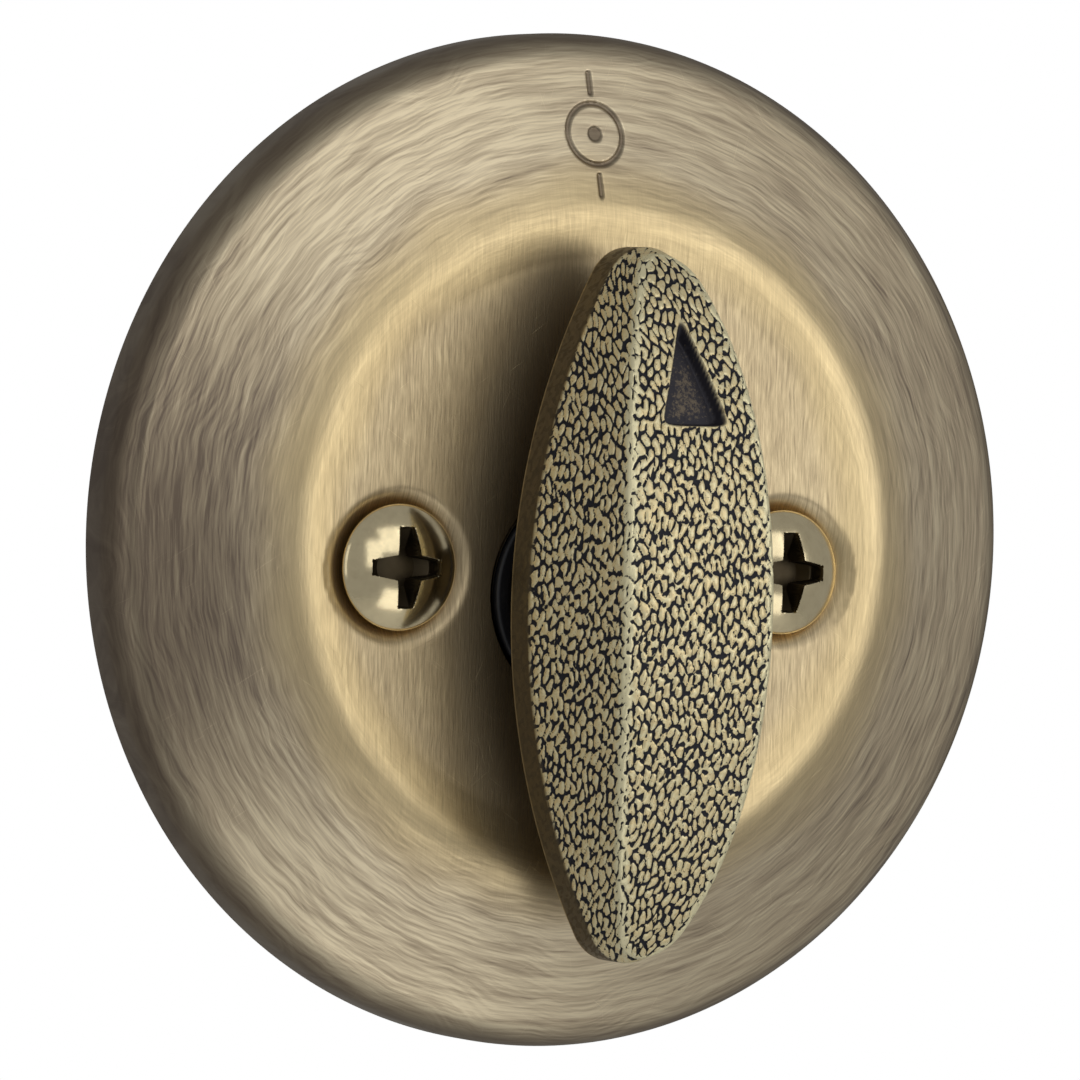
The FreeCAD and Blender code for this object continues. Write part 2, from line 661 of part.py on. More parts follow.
def faceplate_screws():
    """The two wood screws in the door's edge."""
    screws = []
    end = BACKSET - FACE_SCREW_LENGTH
    head = (FACE_SCREW_HEAD_R - SCREW_R) / math.tan(math.radians(SCREW_HEAD_HALF_DEG))
    for z in face_screw_levels():
        tip = Part.makeCone(FACE_SCREW_POINT_R, SCREW_R, FACE_SCREW_TIP, V(end, BOLT_Y, z), BOLT_AXIS)
        shank = rod_x(SCREW_R, end + FACE_SCREW_TIP, BACKSET - head, BOLT_Y, z)
        screw = join([tip, shank, face_screw_head(z, 0)])
        cross = [
            box(BACKSET - FACE_RECESS_DEPTH, BACKSET, BOLT_Y - a, BOLT_Y + a, z - b, z + b)
            for a, b in ((RECESS_ARM / 2, RECESS_SPAN / 2), (RECESS_SPAN / 2, RECESS_ARM / 2))
        ]
        screws.append(screw.cut(join(cross)))
    return Part.makeCompound(screws)


def bolt_rear():
    """Where the thrown bolt's rear end lies."""
    return BACKSET + THROW - BOLT_LENGTH


def tail_sides():
    """The near and far faces of each tail plate."""
    half = TAIL_GAP / 2
    return (
        (BOLT_Y - half - TAIL_SHEET, BOLT_Y - half),
        (BOLT_Y + half, BOLT_Y + half + TAIL_SHEET),
    )


def guard_pin_places():
    """The places across the bolt of its two hardened pins."""
    return [BOLT_Y - GUARD_PIN_OFFSET, BOLT_Y + GUARD_PIN_OFFSET]


def bolt():
    """The thrown bolt, chamfered in front, bored for its pins and slotted for its tail."""
    rear = bolt_rear()
    front = BACKSET + THROW
    body = bolt_form(rear, front)
    nose_start = V(front - BOLT_CHAMFER, BOLT_Y, BOLT_Z)
    nose = Part.makeCone(BOLT_R, BOLT_R - BOLT_CHAMFER, BOLT_CHAMFER, nose_start, BOLT_AXIS)
    body = body.common(join([rod_x(BOLT_R, rear, front - BOLT_CHAMFER), nose]))
    for y in guard_pin_places():
        body = body.cut(rod_x(GUARD_PIN_R, rear, front - GUARD_PIN_COVER, y, BOLT_Z - GUARD_PIN_DROP))
    for y0, y1 in tail_sides():
        body = body.cut(box(rear, rear + TAIL_POCKET, y0, y1, TAIL_LOW_Z, BOLT_Z + BOLT_R))
    for x in tail_rivet_places():
        body = body.cut(tail_rivet(x))
    return body


def saw_guard_pins():
    """The two hardened pins inside the bolt."""
    end = BACKSET + THROW - GUARD_PIN_COVER
    start = end - GUARD_PIN_LENGTH
    level = BOLT_Z - GUARD_PIN_DROP
    return Part.makeCompound([rod_x(GUARD_PIN_R, start, end, y, level) for y in guard_pin_places()])


def tail_rivet_places():
    """The places along the bolt of the two rivets through its tail."""
    middle = bolt_rear() + TAIL_POCKET / 2
    return [middle - TAIL_RIVET_PITCH / 2, middle + TAIL_RIVET_PITCH / 2]


def tail_rivet(x):
    """One rivet across both tail plates and the bolt between them."""
    (near, _), (_, far) = tail_sides()
    return rod_y(TAIL_RIVET_R, near, far, x, TAIL_RIVET_Z)


def tail_plates():
    """The two flat bars that join the bolt to the drive pin."""
    end = bolt_rear() + TAIL_POCKET
    plates = []
    for y0, y1 in tail_sides():
        bar = box(DRIVE_PIN_AT, end, y0, y1, TAIL_LOW_Z, TAIL_HIGH_Z)
        ear = rod_y(TAIL_EAR_R, y0, y1, DRIVE_PIN_AT, DRIVE_PIN_AT)
        root = box(DRIVE_PIN_AT - TAIL_EAR_R, DRIVE_PIN_AT, y0, y1, TAIL_LOW_Z, DRIVE_PIN_AT)
        plate = join([bar, ear, root]).cut(drive_pin())
        for x in tail_rivet_places():
            plate = plate.cut(tail_rivet(x))
        plates.append(plate)
    return Part.makeCompound(plates)


def tail_rivets():
    """The rivets that hold the tail plates in the bolt."""
    return Part.makeCompound([tail_rivet(x) for x in tail_rivet_places()])


def drive_pin():
    """The pin that rides in the crank's fork."""
    (near, _), (_, far) = tail_sides()
    return rod_y(DRIVE_PIN_R, near, far, DRIVE_PIN_AT, DRIVE_PIN_AT)


NODES = (
    rose,
    mounting_plate,
    turn_bushing,
    turn_piece,
    wave_washer,
    retaining_ring,
    torque_blade,
    blade_pin,
    mounting_screws,
    case_channel,
    case_cover,
    clamp_posts,
    case_rivets,
    crank,
    detent_spring,
    bolt_barrel,
    backing_plate,
    faceplate,
    faceplate_screws,
    bolt,
    saw_guard_pins,
    tail_plates,
    tail_rivets,
    drive_pin,
)

os.makedirs("parts", exist_ok=True)
for make in NODES:
    shape = make()
    shape.exportStep(f"parts/{make.__name__}.step")
    volume = sum(solid.Volume for solid in shape.Solids)
    print(f"{make.__name__:18} solids {len(shape.Solids)} valid {shape.isValid()} volume {volume:9.2f}")
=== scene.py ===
import logging
import math
from dataclasses import dataclass, field
from enum import Enum
from typing import Any

import bmesh
import bpy
import numpy as np
from mathutils import Matrix, Vector


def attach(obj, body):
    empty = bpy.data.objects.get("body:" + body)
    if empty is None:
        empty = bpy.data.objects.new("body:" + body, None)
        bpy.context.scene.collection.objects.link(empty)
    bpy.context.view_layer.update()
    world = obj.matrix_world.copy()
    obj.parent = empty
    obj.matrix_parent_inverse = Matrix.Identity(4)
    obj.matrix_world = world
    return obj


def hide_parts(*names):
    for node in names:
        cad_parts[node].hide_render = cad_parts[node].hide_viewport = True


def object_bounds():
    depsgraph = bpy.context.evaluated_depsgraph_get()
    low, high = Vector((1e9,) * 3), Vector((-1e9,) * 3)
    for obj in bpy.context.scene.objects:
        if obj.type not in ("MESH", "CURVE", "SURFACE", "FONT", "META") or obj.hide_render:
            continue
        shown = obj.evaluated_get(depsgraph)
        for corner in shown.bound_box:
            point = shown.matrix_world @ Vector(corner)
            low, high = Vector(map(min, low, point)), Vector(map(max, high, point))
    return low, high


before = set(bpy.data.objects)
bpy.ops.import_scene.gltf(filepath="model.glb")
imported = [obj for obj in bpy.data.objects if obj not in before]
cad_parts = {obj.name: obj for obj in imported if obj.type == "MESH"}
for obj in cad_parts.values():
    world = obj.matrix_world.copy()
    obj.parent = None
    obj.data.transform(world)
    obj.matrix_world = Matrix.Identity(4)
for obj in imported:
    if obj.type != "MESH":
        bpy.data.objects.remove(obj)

CAD_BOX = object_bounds()
MM = 0.001
LOG = logging.getLogger("deadbolt")
Colour = tuple[float, float, float]
Span = tuple[float, float]

# Sizes shared by several pieces, in millimetres. A height is measured off the door towards the room, along -Y.
ROSE_CENTRE_Z = 3.4
SCREW_X = 14.3
SCREW_Z = 1.65


class Body(Enum):
    """The bodies that the new pieces ride on."""

    FRAME = "lock_frame"
    TURN = "turn"


class Slot(Enum):
    """The record's material slots named for the new pieces."""

    ANTIQUE_BRASS = "antique_brass"
    GRAINED_BRASS = "grained_brass"
    POLISHED_BRASS = "polished_brass"
    BLACK_NYLON = "black_nylon"


# ---------------------------------------------------------------- shader maths


class Value:
    """One number or vector in a shader, with the arithmetic signs overloaded."""

    def __init__(self, graph: "Graph", socket: bpy.types.NodeSocket) -> None:
        """Keeps the graph and the socket that the value comes from."""
        self.graph = graph
        self.socket = socket

    def __add__(self, other: Any) -> "Value":
        """The sum."""
        return self.graph.math("ADD", self, other)

    __radd__ = __add__

    def __sub__(self, other: Any) -> "Value":
        """The difference."""
        return self.graph.math("SUBTRACT", self, other)

    def __rsub__(self, other: Any) -> "Value":
        """The difference, the other way round."""
        return self.graph.math("SUBTRACT", other, self)

    def __mul__(self, other: Any) -> "Value":
        """The product."""
        return self.graph.math("MULTIPLY", self, other)

    __rmul__ = __mul__

    def __truediv__(self, other: Any) -> "Value":
        """The quotient."""
        return self.graph.math("DIVIDE", self, other)

    def __abs__(self) -> "Value":
        """The size without the sign."""
        return self.graph.math("ABSOLUTE", self)


class Graph:
    """One material's node tree, with a Principled shader at its end."""

    def __init__(self, name: str, **constants: Any) -> None:
        """Starts a material.

        Args:
            name: The material's name.
            constants: Values set on the shader's own sockets, with underscores for spaces.
        """
        self.material = bpy.data.materials.new(name)
        self.material.use_nodes = True
        self.tree = self.material.node_tree
        self.tree.nodes.clear()
        output = self.tree.nodes.new("ShaderNodeOutputMaterial")
        self.shader = self.tree.nodes.new("ShaderNodeBsdfPrincipled")
        self.tree.links.new(self.shader.outputs[0], output.inputs["Surface"])
        for key, value in constants.items():
            self.shader.inputs[key.replace("_", " ")].default_value = value

    def node(self, kind: str, settings: dict[str, Any] | None = None, inputs: dict[Any, Any] | None = None,
             output: Any = 0) -> Value:
        """Adds any node.

        Args:
            kind: The node's type, without its ShaderNode prefix.
            settings: The node's own settings, set first; "stops" gives a ramp's positions and colours.
            inputs: Values or links for its sockets, by name or index.
            output: The name or index of the socket to return.

        Returns:
            The chosen output.
        """
        made = self.tree.nodes.new("ShaderNode" + kind)
        for key, value in (settings or {}).items():
            if key == "stops":
                self.set_stops(made.color_ramp, value)
            else:
                setattr(made, key, value)
        for key, value in (inputs or {}).items():
            if isinstance(value, Value):
                self.tree.links.new(value.socket, made.inputs[key])
            else:
                made.inputs[key].default_value = value
        return Value(self, made.outputs[output])

    @staticmethod
    def set_stops(ramp: bpy.types.ColorRamp, stops: list[tuple[float, Colour]]) -> None:
        """Gives a ramp its positions and colours.

        Args:
            ramp: The ramp.
            stops: Each stop's position and colour.
        """
        while len(ramp.elements) < len(stops):
            ramp.elements.new(1.0)
        for element, (position, colour) in zip(ramp.elements, stops):
            element.position = position
            element.color = (*colour, 1.0)

    def math(self, operation: str, *terms: Any) -> Value:
        """A Math node on one to three numbers."""
        return self.node("Math", {"operation": operation}, dict(enumerate(terms)))

    def vector(self, operation: str, *terms: Any) -> Value:
        """A Vector Math node whose result is a vector."""
        return self.node("VectorMath", {"operation": operation}, dict(enumerate(terms)))

    def place(self) -> Value:
        """The point on the piece, in millimetres."""
        point = self.node("TexCoord", output="Object")
        return self.node("VectorMath", {"operation": "SCALE"}, {0: point, "Scale": 1 / MM})

    def split(self, vector: Value) -> tuple[Value, Value, Value]:
        """The three parts of a vector."""
        return tuple(self.node("SeparateXYZ", inputs={0: vector}, output=i) for i in range(3))

    def merge(self, x: Any, y: Any, z: Any) -> Value:
        """A vector from three numbers."""
        return self.node("CombineXYZ", inputs={0: x, 1: y, 2: z})

    def noise(self, vector: Value, scale: float, detail: float = 3.0, rough: float = 0.55) -> Value:
        """Smooth noise from 0 to 1."""
        return self.node("TexNoise", inputs={"Vector": vector, "Scale": scale, "Detail": detail, "Roughness": rough})

    def step(self, value: Value, low: float, high: float) -> Value:
        """A smooth step from 0 at low to 1 at high; low may be the larger.

        Args:
            value: What the step follows.
            low: Where it is 0.
            high: Where it is 1.

        Returns:
            From 0 to 1.
        """
        settings = {"interpolation_type": "SMOOTHSTEP"}
        if low <= high:
            return self.node("MapRange", settings, {0: value, 1: low, 2: high, 3: 0.0, 4: 1.0})
        return self.node("MapRange", settings, {0: value, 1: high, 2: low, 3: 1.0, 4: 0.0})

    def ramp(self, value: Value, *stops: tuple[float, Colour]) -> Value:
        """A colour from a number."""
        return self.node("ValToRGB", {"stops": list(stops)}, {0: value})

    def mix(self, share: Any, first: Any, second: Any, blend: str = "MIX") -> Value:
        """A blend of two colours.

        Args:
            share: The share of the second colour.
            first: The first colour.
            second: The second colour.
            blend: How the second is laid over the first.

        Returns:
            The colour.
        """
        colours = [c if isinstance(c, Value) else (*c, 1.0) for c in (first, second)]
        settings = {"data_type": "RGBA", "blend_type": blend}
        return self.node("Mix", settings, {0: share, 6: colours[0], 7: colours[1]}, output=2)

    def attribute(self, name: str) -> Value:
        """A number stored on the mesh."""
        return self.node("Attribute", {"attribute_name": name}, output="Fac")

    def set(self, **links: Value) -> None:
        """Links values to the shader's sockets, with underscores for spaces."""
        for key, value in links.items():
            self.tree.links.new(value.socket, self.shader.inputs[key.replace("_", " ")])

    def bump(self, height: Value, distance_mm: float, strength: float = 1.0) -> None:
        """Feeds a height map to the shader's normal."""
        inputs = {"Height": height, "Distance": distance_mm * MM, "Strength": strength}
        self.set(Normal=self.node("Bump", inputs=inputs))


# ---------------------------------------------------------------- finishes


@dataclass(frozen=True)
class BrushedBrass:
    """Antique brass: arc strokes round the band, upright strokes on the plateau, rubbed bright on its crest."""

    name: str
    centre_z: float = ROSE_CENTRE_Z
    crest_r: float = 21.5
    dark: Colour = (0.25, 0.195, 0.145)
    middle: Colour = (0.56, 0.455, 0.31)
    bright: Colour = (0.86, 0.73, 0.50)
    worn: Colour = (0.90, 0.76, 0.47)
    # Patina for the rim and the mark's groove, and also the colour of the painted shade on the band's left side.
    patina_and_shade: Colour = (0.16, 0.12, 0.085)
    plateau_tint: Colour = (1.0, 0.97, 0.86)
    band_from: Span = (17.5, 25.0)
    # Where the painted highlight on the band fades in.
    painted_sheen_from: Span = (21.5, 27.5)
    rim_from: Span = (31.9, 33.2)
    # How wide the painted shade in the band's left sector is.
    painted_left_shade_from: Span = (0.78, 0.97)
    # Where the painted shade on the band's left side reaches, across and then up and down.
    mid_left_shade_from: Span = (23.0, 30.0)
    mid_left_shade_ends: Span = (17.0, 6.0)
    mean_tone: float = 0.54
    cloud_share: float = 0.3
    hair_share: float = 0.13
    # How strong the painted highlight and painted shade on the band are.
    painted_sheen_share: float = 0.34
    scratch_angles: tuple[float, ...] = (1.15, 1.86, 0.62, 2.55)

    def build(self) -> bpy.types.Material:
        """Strokes of three widths in two lays, sparse hairlines, a rubbed crest, a darkened rim, and a painted
        highlight and painted shade on the band.

        Returns:
            The material.
        """
        g = Graph(self.name, Metallic=1.0)
        place = g.place()
        x, _, z = g.split(place)
        up = z - self.centre_z
        radius = g.math("SQRT", x * x + up * up)
        cloud = g.noise(place, 0.09, 3.0, 0.5)
        across = x / (radius + 0.01)
        rise = up / (radius + 0.01)
        arcs = self.arcs(g, place, across, rise, radius)
        upright = self.upright(g, place, x, z)
        band = g.step(radius + (cloud - 0.5) * 5.0, *self.band_from)
        strokes = upright + band * (arcs - upright)
        # Painted highlight and shade: the band is lightened above and below the centre and darkened in a narrow
        # sector on its left side.
        painted_left_shade = g.step(0.0 - across, *self.painted_left_shade_from)
        painted_sheen = (rise * rise * 0.7 - across * abs(rise) * 0.6 - painted_left_shade - 0.05) * g.step(radius, *self.painted_sheen_from)
        hairs = self.hairlines(g, x, z)
        crest = g.step(abs(radius - self.crest_r + (cloud - 0.5) * 4.0), 4.2, 0.4)
        rim = g.step(radius + (cloud - 0.5) * 1.2, *self.rim_from)
        tone = (strokes - 0.5) * (0.75 + band * 0.45) + self.mean_tone + (cloud - 0.5) * self.cloud_share
        tone = tone + hairs * self.hair_share + painted_sheen * self.painted_sheen_share
        colour = g.ramp(tone, (0.0, self.dark), (0.5, self.middle), (1.0, self.bright))
        colour = g.mix(crest * 0.55, colour, self.worn, "MULTIPLY")
        colour = g.mix(crest * 0.35, colour, self.worn)
        colour = g.mix(1.0 - band, colour, self.plateau_tint, "MULTIPLY")
        # Painted shade: the band's left side, about its middle height, is darkened towards the patina colour.
        stain = g.step(0.0 - x + (cloud - 0.5) * 9.0, *self.mid_left_shade_from)
        stain = stain * g.step(abs(z + 1.0), *self.mid_left_shade_ends)
        colour = g.mix(g.math("MAXIMUM", rim * 0.8, stain * 0.42), colour, self.patina_and_shade)
        colour = g.mix(g.attribute("groove") * 0.8, colour, self.patina_and_shade)
        g.set(Base_Color=colour, Roughness=(1.0 - strokes) * 0.16 + rim * 0.1 - crest * 0.04 + 0.32)
        g.bump(strokes * 0.8 + hairs * 0.3, 0.010, 1.0)
        return g.material

    def arcs(self, g: Graph, place: Value, across: Value, rise: Value, radius: Value) -> Value:
        """Strokes round the centre, wandering a little off the circle.

        Args:
            g: The graph to add to.
            place: The point on the piece.
            across: The cosine of the angle round the centre.
            rise: The sine of that angle.
            radius: The distance from the centre.

        Returns:
            From 0 to 1.
        """
        bent = radius + g.noise(place, 0.28, 2.0) * 0.6
        astray = radius + g.noise(place, 0.13, 1.0) * 4.0
        broad = g.noise(g.merge(across * 4.5, rise * 4.5, bent * 3.0), 1.0, 2.0, 0.5)
        thin = g.noise(g.merge(across * 8.0, rise * 8.0, bent * 7.5), 1.0, 3.0, 0.6)
        crossed = g.noise(g.merge(across * 6.0, rise * 6.0, astray * 4.5), 1.0, 2.0, 0.55)
        return g.math("MULTIPLY_ADD", (broad * 0.38 + thin * 0.36 + crossed * 0.26) - 0.5, 2.5, 0.5)

    def upright(self, g: Graph, place: Value, x: Value, z: Value) -> Value:
        """Fine strokes that run up and down the plateau.

        Args:
            g: The graph to add to.
            place: The point on the piece.
            x: The place across, in millimetres.
            z: The place up, in millimetres.

        Returns:
            From 0 to 1.
        """
        bent = x + g.noise(place, 0.22, 2.0) * 0.45
        broad = g.noise(g.merge(bent * 4.2, 0.0, z * 0.24), 1.0, 2.0, 0.55)
        thin = g.noise(g.merge(bent * 9.5, 3.0, z * 0.55), 1.0, 3.0, 0.6)
        return g.math("MULTIPLY_ADD", (broad * 0.34 + thin * 0.66) - 0.5, 2.0, 0.5)

    def hairlines(self, g: Graph, x: Value, z: Value) -> Value:
        """Sparse fine straight scratches at a few angles.

        Args:
            g: The graph to add to.
            x: The place across, in millimetres.
            z: The place up, in millimetres.

        Returns:
            From 0, none, to 1, on a scratch.
        """
        total = None
        for index, angle in enumerate(self.scratch_angles):
            along = x * math.cos(angle) + z * math.sin(angle)
            aside = z * math.cos(angle) - x * math.sin(angle)
            lines = g.noise(g.merge(aside * 8.0, along * 0.2, 9.0 * index), 1.0, 2.0, 0.5)
            lines = g.step(lines, 0.68, 0.75)
            total = lines if total is None else total + lines
        return total


@dataclass(frozen=True)
class GrainedBrass:
    """Cast brass with raised grain rubbed bright over blackened grooves."""

    name: str
    groove: Colour = (0.014, 0.014, 0.021)
    skin: Colour = (0.95, 0.76, 0.40)
    worn: Colour = (1.0, 0.90, 0.56)
    flange: Colour = (0.14, 0.105, 0.056)
    edge: Colour = (0.55, 0.42, 0.22)
    # The arrow recess: blackened on its floor, and the same dark laid on its walls as painted shade.
    floor: Colour = (0.034, 0.031, 0.040)
    dust: Colour = (0.26, 0.20, 0.125)
    scuff: Colour = (0.05, 0.038, 0.024)
    island_from: Span = (0.45, 0.49)

    def build(self) -> bpy.types.Material:
        """The stored grain is cut to crisp islands; edges are rubbed bright, and the recess is left dark: its floor
        blackened, its walls darkened as painted shade.

        Returns:
            The material.
        """
        g = Graph(self.name)
        place = g.place()
        fine = g.noise(place, 2.3, 4.0, 0.65)
        speck = g.noise(place, 5.5, 3.0, 0.7)
        island = g.step(g.attribute("grain") + (fine - 0.5) * 0.10, *self.island_from)
        wear = g.attribute("wear")
        brass = g.mix(g.step(fine * 0.6 + speck * 0.4 + wear * 0.3, 0.40, 0.66), self.skin, self.worn)
        pores = g.step(speck, 0.40, 0.32) * (1.0 - wear * 0.6)
        brass = g.mix(pores * 0.75, brass, self.flange)
        textured = g.mix(island, self.groove, brass)
        dust = g.step(speck * 0.6 + fine * 0.6 + g.attribute("dust") * 0.22, 0.72, 0.92)
        floor = g.mix(dust * 0.7, self.floor, self.dust)
        smooth = g.attribute("smooth")
        band = g.mix(g.step(wear, 0.45, 1.0), self.flange, self.edge)
        band = g.mix(g.step(fine, 0.35, 0.8) * 0.5, band, self.scuff)
        colour = g.mix(smooth, textured, band)
        # The arrow recess darkens: a blackened floor, and painted shade on its walls.
        recess = g.attribute("recess")
        colour = g.mix(recess, colour, floor)
        metal = 0.25 + island * 0.25 * (1.0 - smooth) + smooth * 0.5 - recess * 0.1
        rough = 0.60 - island * 0.22 + recess * 0.1
        g.set(Base_Color=colour, Roughness=rough, Metallic=metal)
        g.bump(fine * 0.6 + speck * 0.4, 0.02, 0.6)
        return g.material


@dataclass(frozen=True)
class PolishedBrass:
    """Polished, lacquered brass with faint wipe marks."""

    name: str
    base: Colour = (0.96, 0.81, 0.50)
    dark: Colour = (0.42, 0.31, 0.17)
    # Painted shade for the driver recess.
    recess_shade: Colour = (0.032, 0.021, 0.012)

    def build(self) -> bpy.types.Material:
        """Nearly smooth metal, its recess darkened as painted shade by a stored attribute where there is one.

        Returns:
            The material.
        """
        g = Graph(self.name, Metallic=1.0)
        place = g.place()
        wipe = g.noise(place, 1.4, 4.0, 0.6)
        pits = g.step(g.noise(place, 9.0, 2.0), 0.66, 0.72)
        recess = g.attribute("recess")
        colour = g.mix(g.step(wipe, 0.35, 0.8) * 0.22, self.base, self.dark)
        # Painted shade: the driver recess is darkened nearly to black.
        colour = g.mix(recess * 0.94, colour, self.recess_shade)
        g.set(Base_Color=colour, Roughness=0.10 + wipe * 0.12 + recess * 0.3 + pits * 0.1)
        g.bump(wipe, 0.012, 0.5)
        return g.material


@dataclass(frozen=True)
class Nylon:
    """Moulded black plastic with a fine satin texture."""

    name: str
    base: Colour = (0.012, 0.012, 0.014)
    dust: Colour = (0.05, 0.048, 0.047)

    def build(self) -> bpy.types.Material:
        """Dark base, broken by dusty scuffs.

        Returns:
            The material.
        """
        g = Graph(self.name, Metallic=0.0)
        place = g.place()
        grain = g.noise(place, 8.0, 3.0, 0.7)
        scuff = g.step(g.noise(place, 0.9, 5.0, 0.7), 0.52, 0.78)
        g.set(Base_Color=g.mix(scuff * 0.5, self.base, self.dust), Roughness=0.38 + scuff * 0.2 + grain * 0.1)
        g.bump(grain, 0.01, 0.5)
        return g.material


class Lay(Enum):
    """Which way a metal's working marks run."""

    ALONG_X = (0.12, 5.0, 5.0)
    ALONG_Z = (5.0, 5.0, 0.12)
    EVEN = (1.6, 1.6, 1.6)


@dataclass(frozen=True)
class Steel:
    """Plain working steel or zinc: rolled, turned or cast, with stains and rubbed patches."""

    name: str
    base: Colour
    stain: Colour
    lay: Lay = Lay.EVEN
    rough: float = 0.34
    stain_share: float = 0.45
    mark_depth: float = 0.012

    def build(self) -> bpy.types.Material:
        """Fine marks along one direction under soft stains, with a scatter of small pits.

        Returns:
            The material.
        """
        g = Graph(self.name, Metallic=1.0)
        place = g.place()
        marks = g.noise(g.vector("MULTIPLY", place, self.lay.value), 1.0, 5.0, 0.65)
        cloud = g.noise(place, 0.16, 4.0, 0.6)
        pits = g.step(g.noise(place, 4.0, 2.0), 0.68, 0.76)
        stained = g.step(cloud + (marks - 0.5) * 0.4, 0.42, 0.72) * self.stain_share
        colour = g.mix(stained, self.base, self.stain)
        colour = g.mix(pits * 0.6, colour, tuple(0.35 * c for c in self.stain))
        g.set(Base_Color=colour, Roughness=self.rough + (marks - 0.5) * 0.22 + stained * 0.25)
        g.bump(marks * 0.8 - pits * 0.5, self.mark_depth, 0.8)
        return g.material


@dataclass(frozen=True)
class Pale:
    """The pale matt ground that the object is pictured over."""

    name: str = "pale_ground"
    low: Colour = (0.90, 0.90, 0.90)
    high: Colour = (0.94, 0.94, 0.93)

    def build(self) -> bpy.types.Material:
        """A nearly white matt surface with a trace of mottling.

        Returns:
            The material.
        """
        g = Graph(self.name, Roughness=0.9)
        cloud = g.noise(g.place(), 0.01, 2.0)
        g.set(Base_Color=g.mix(cloud, self.low, self.high))
        return g.material


# ---------------------------------------------------------------- mesh building


@dataclass
class Patchwork:
    """A mesh put together from grids of points, in millimetres."""

    name: str
    points: list[np.ndarray] = field(default_factory=list)
    faces: list[np.ndarray] = field(default_factory=list)
    fields: dict[str, list[np.ndarray]] = field(default_factory=dict)
    count: int = 0

    def grid(self, points: np.ndarray, wrap_rows: bool = False, wrap_cols: bool = False,
             **values: np.ndarray) -> None:
        """Adds a grid of points as quads.

        Args:
            points: Rows by columns by three.
            wrap_rows: Whether the last row joins the first.
            wrap_cols: Whether the last column joins the first.
            values: Numbers to store per point, rows by columns.
        """
        rows, cols = points.shape[:2]
        index = np.arange(rows * cols).reshape(rows, cols) + self.count
        if wrap_rows:
            index = np.vstack([index, index[:1]])
        if wrap_cols:
            index = np.hstack([index, index[:, :1]])
        quads = np.stack([index[:-1, :-1], index[:-1, 1:], index[1:, 1:], index[1:, :-1]], axis=-1)
        self.points.append(points.reshape(-1, 3))
        self.faces.append(quads.reshape(-1, 4))
        for key in set(self.fields) | set(values):
            stored = self.fields.setdefault(key, [np.zeros(self.count)] if self.count else [])
            stored.append(values[key].ravel() if key in values else np.zeros(rows * cols))
        self.count += rows * cols

    def build(self, finish: bpy.types.Material, body: Body, slot: Slot, *replaced: str,
              sharp_deg: float = 38.0) -> bpy.types.Object:
        """Welds the seams, turns the faces outwards and makes the piece.

        Args:
            finish: The piece's material.
            body: The body that it rides on.
            slot: The record's slot for the piece; not used.
            replaced: The CAD nodes that it stands for.
            sharp_deg: Edges that turn more than this stay sharp.

        Returns:
            The piece.
        """
        mesh = bpy.data.meshes.new(self.name)
        vertices = np.concatenate(self.points) * MM
        quads = np.concatenate(self.faces)
        mesh.vertices.add(len(vertices))
        mesh.vertices.foreach_set("co", vertices.ravel())
        mesh.loops.add(quads.size)
        mesh.loops.foreach_set("vertex_index", quads.ravel())
        mesh.polygons.add(len(quads))
        mesh.polygons.foreach_set("loop_start", np.arange(0, quads.size, 4))
        for key, stored in self.fields.items():
            layer = mesh.attributes.new(key, "FLOAT", "POINT")
            layer.data.foreach_set("value", np.concatenate(stored))
        mesh.update(calc_edges=True)
        self.weld(mesh)
        mesh.shade_smooth()
        mesh.set_sharp_from_angle(angle=math.radians(sharp_deg))
        mesh.materials.append(finish)
        piece = bpy.data.objects.new(self.name, mesh)
        bpy.context.scene.collection.objects.link(piece)
        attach(piece, body.value)
        if replaced:
            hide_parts(*replaced)
        LOG.info("%s: %d faces, rides on %s", self.name, len(mesh.polygons), body.value)
        return piece

    @staticmethod
    def weld(mesh: bpy.types.Mesh) -> None:
        """Merges the points that meet at seams and poles and makes the faces point outwards.

        Args:
            mesh: The mesh, changed in place.
        """
        work = bmesh.new()
        work.from_mesh(mesh)
        bmesh.ops.remove_doubles(work, verts=work.verts, dist=2e-7)
        bmesh.ops.dissolve_degenerate(work, edges=work.edges, dist=1e-8)
        bmesh.ops.recalc_face_normals(work, faces=work.faces)
        work.to_mesh(mesh)
        work.free()


def joined(*stretches: tuple[float, float, int]) -> np.ndarray:
    """Evenly spaced numbers over several stretches laid end to end.

    Args:
        stretches: The start, the end and the number of steps of each.

    Returns:
        The numbers, with shared ends given once.
    """
    runs = [np.linspace(a, b, n, endpoint=False) for a, b, n in stretches]
    return np.concatenate(runs + [[stretches[-1][1]]])


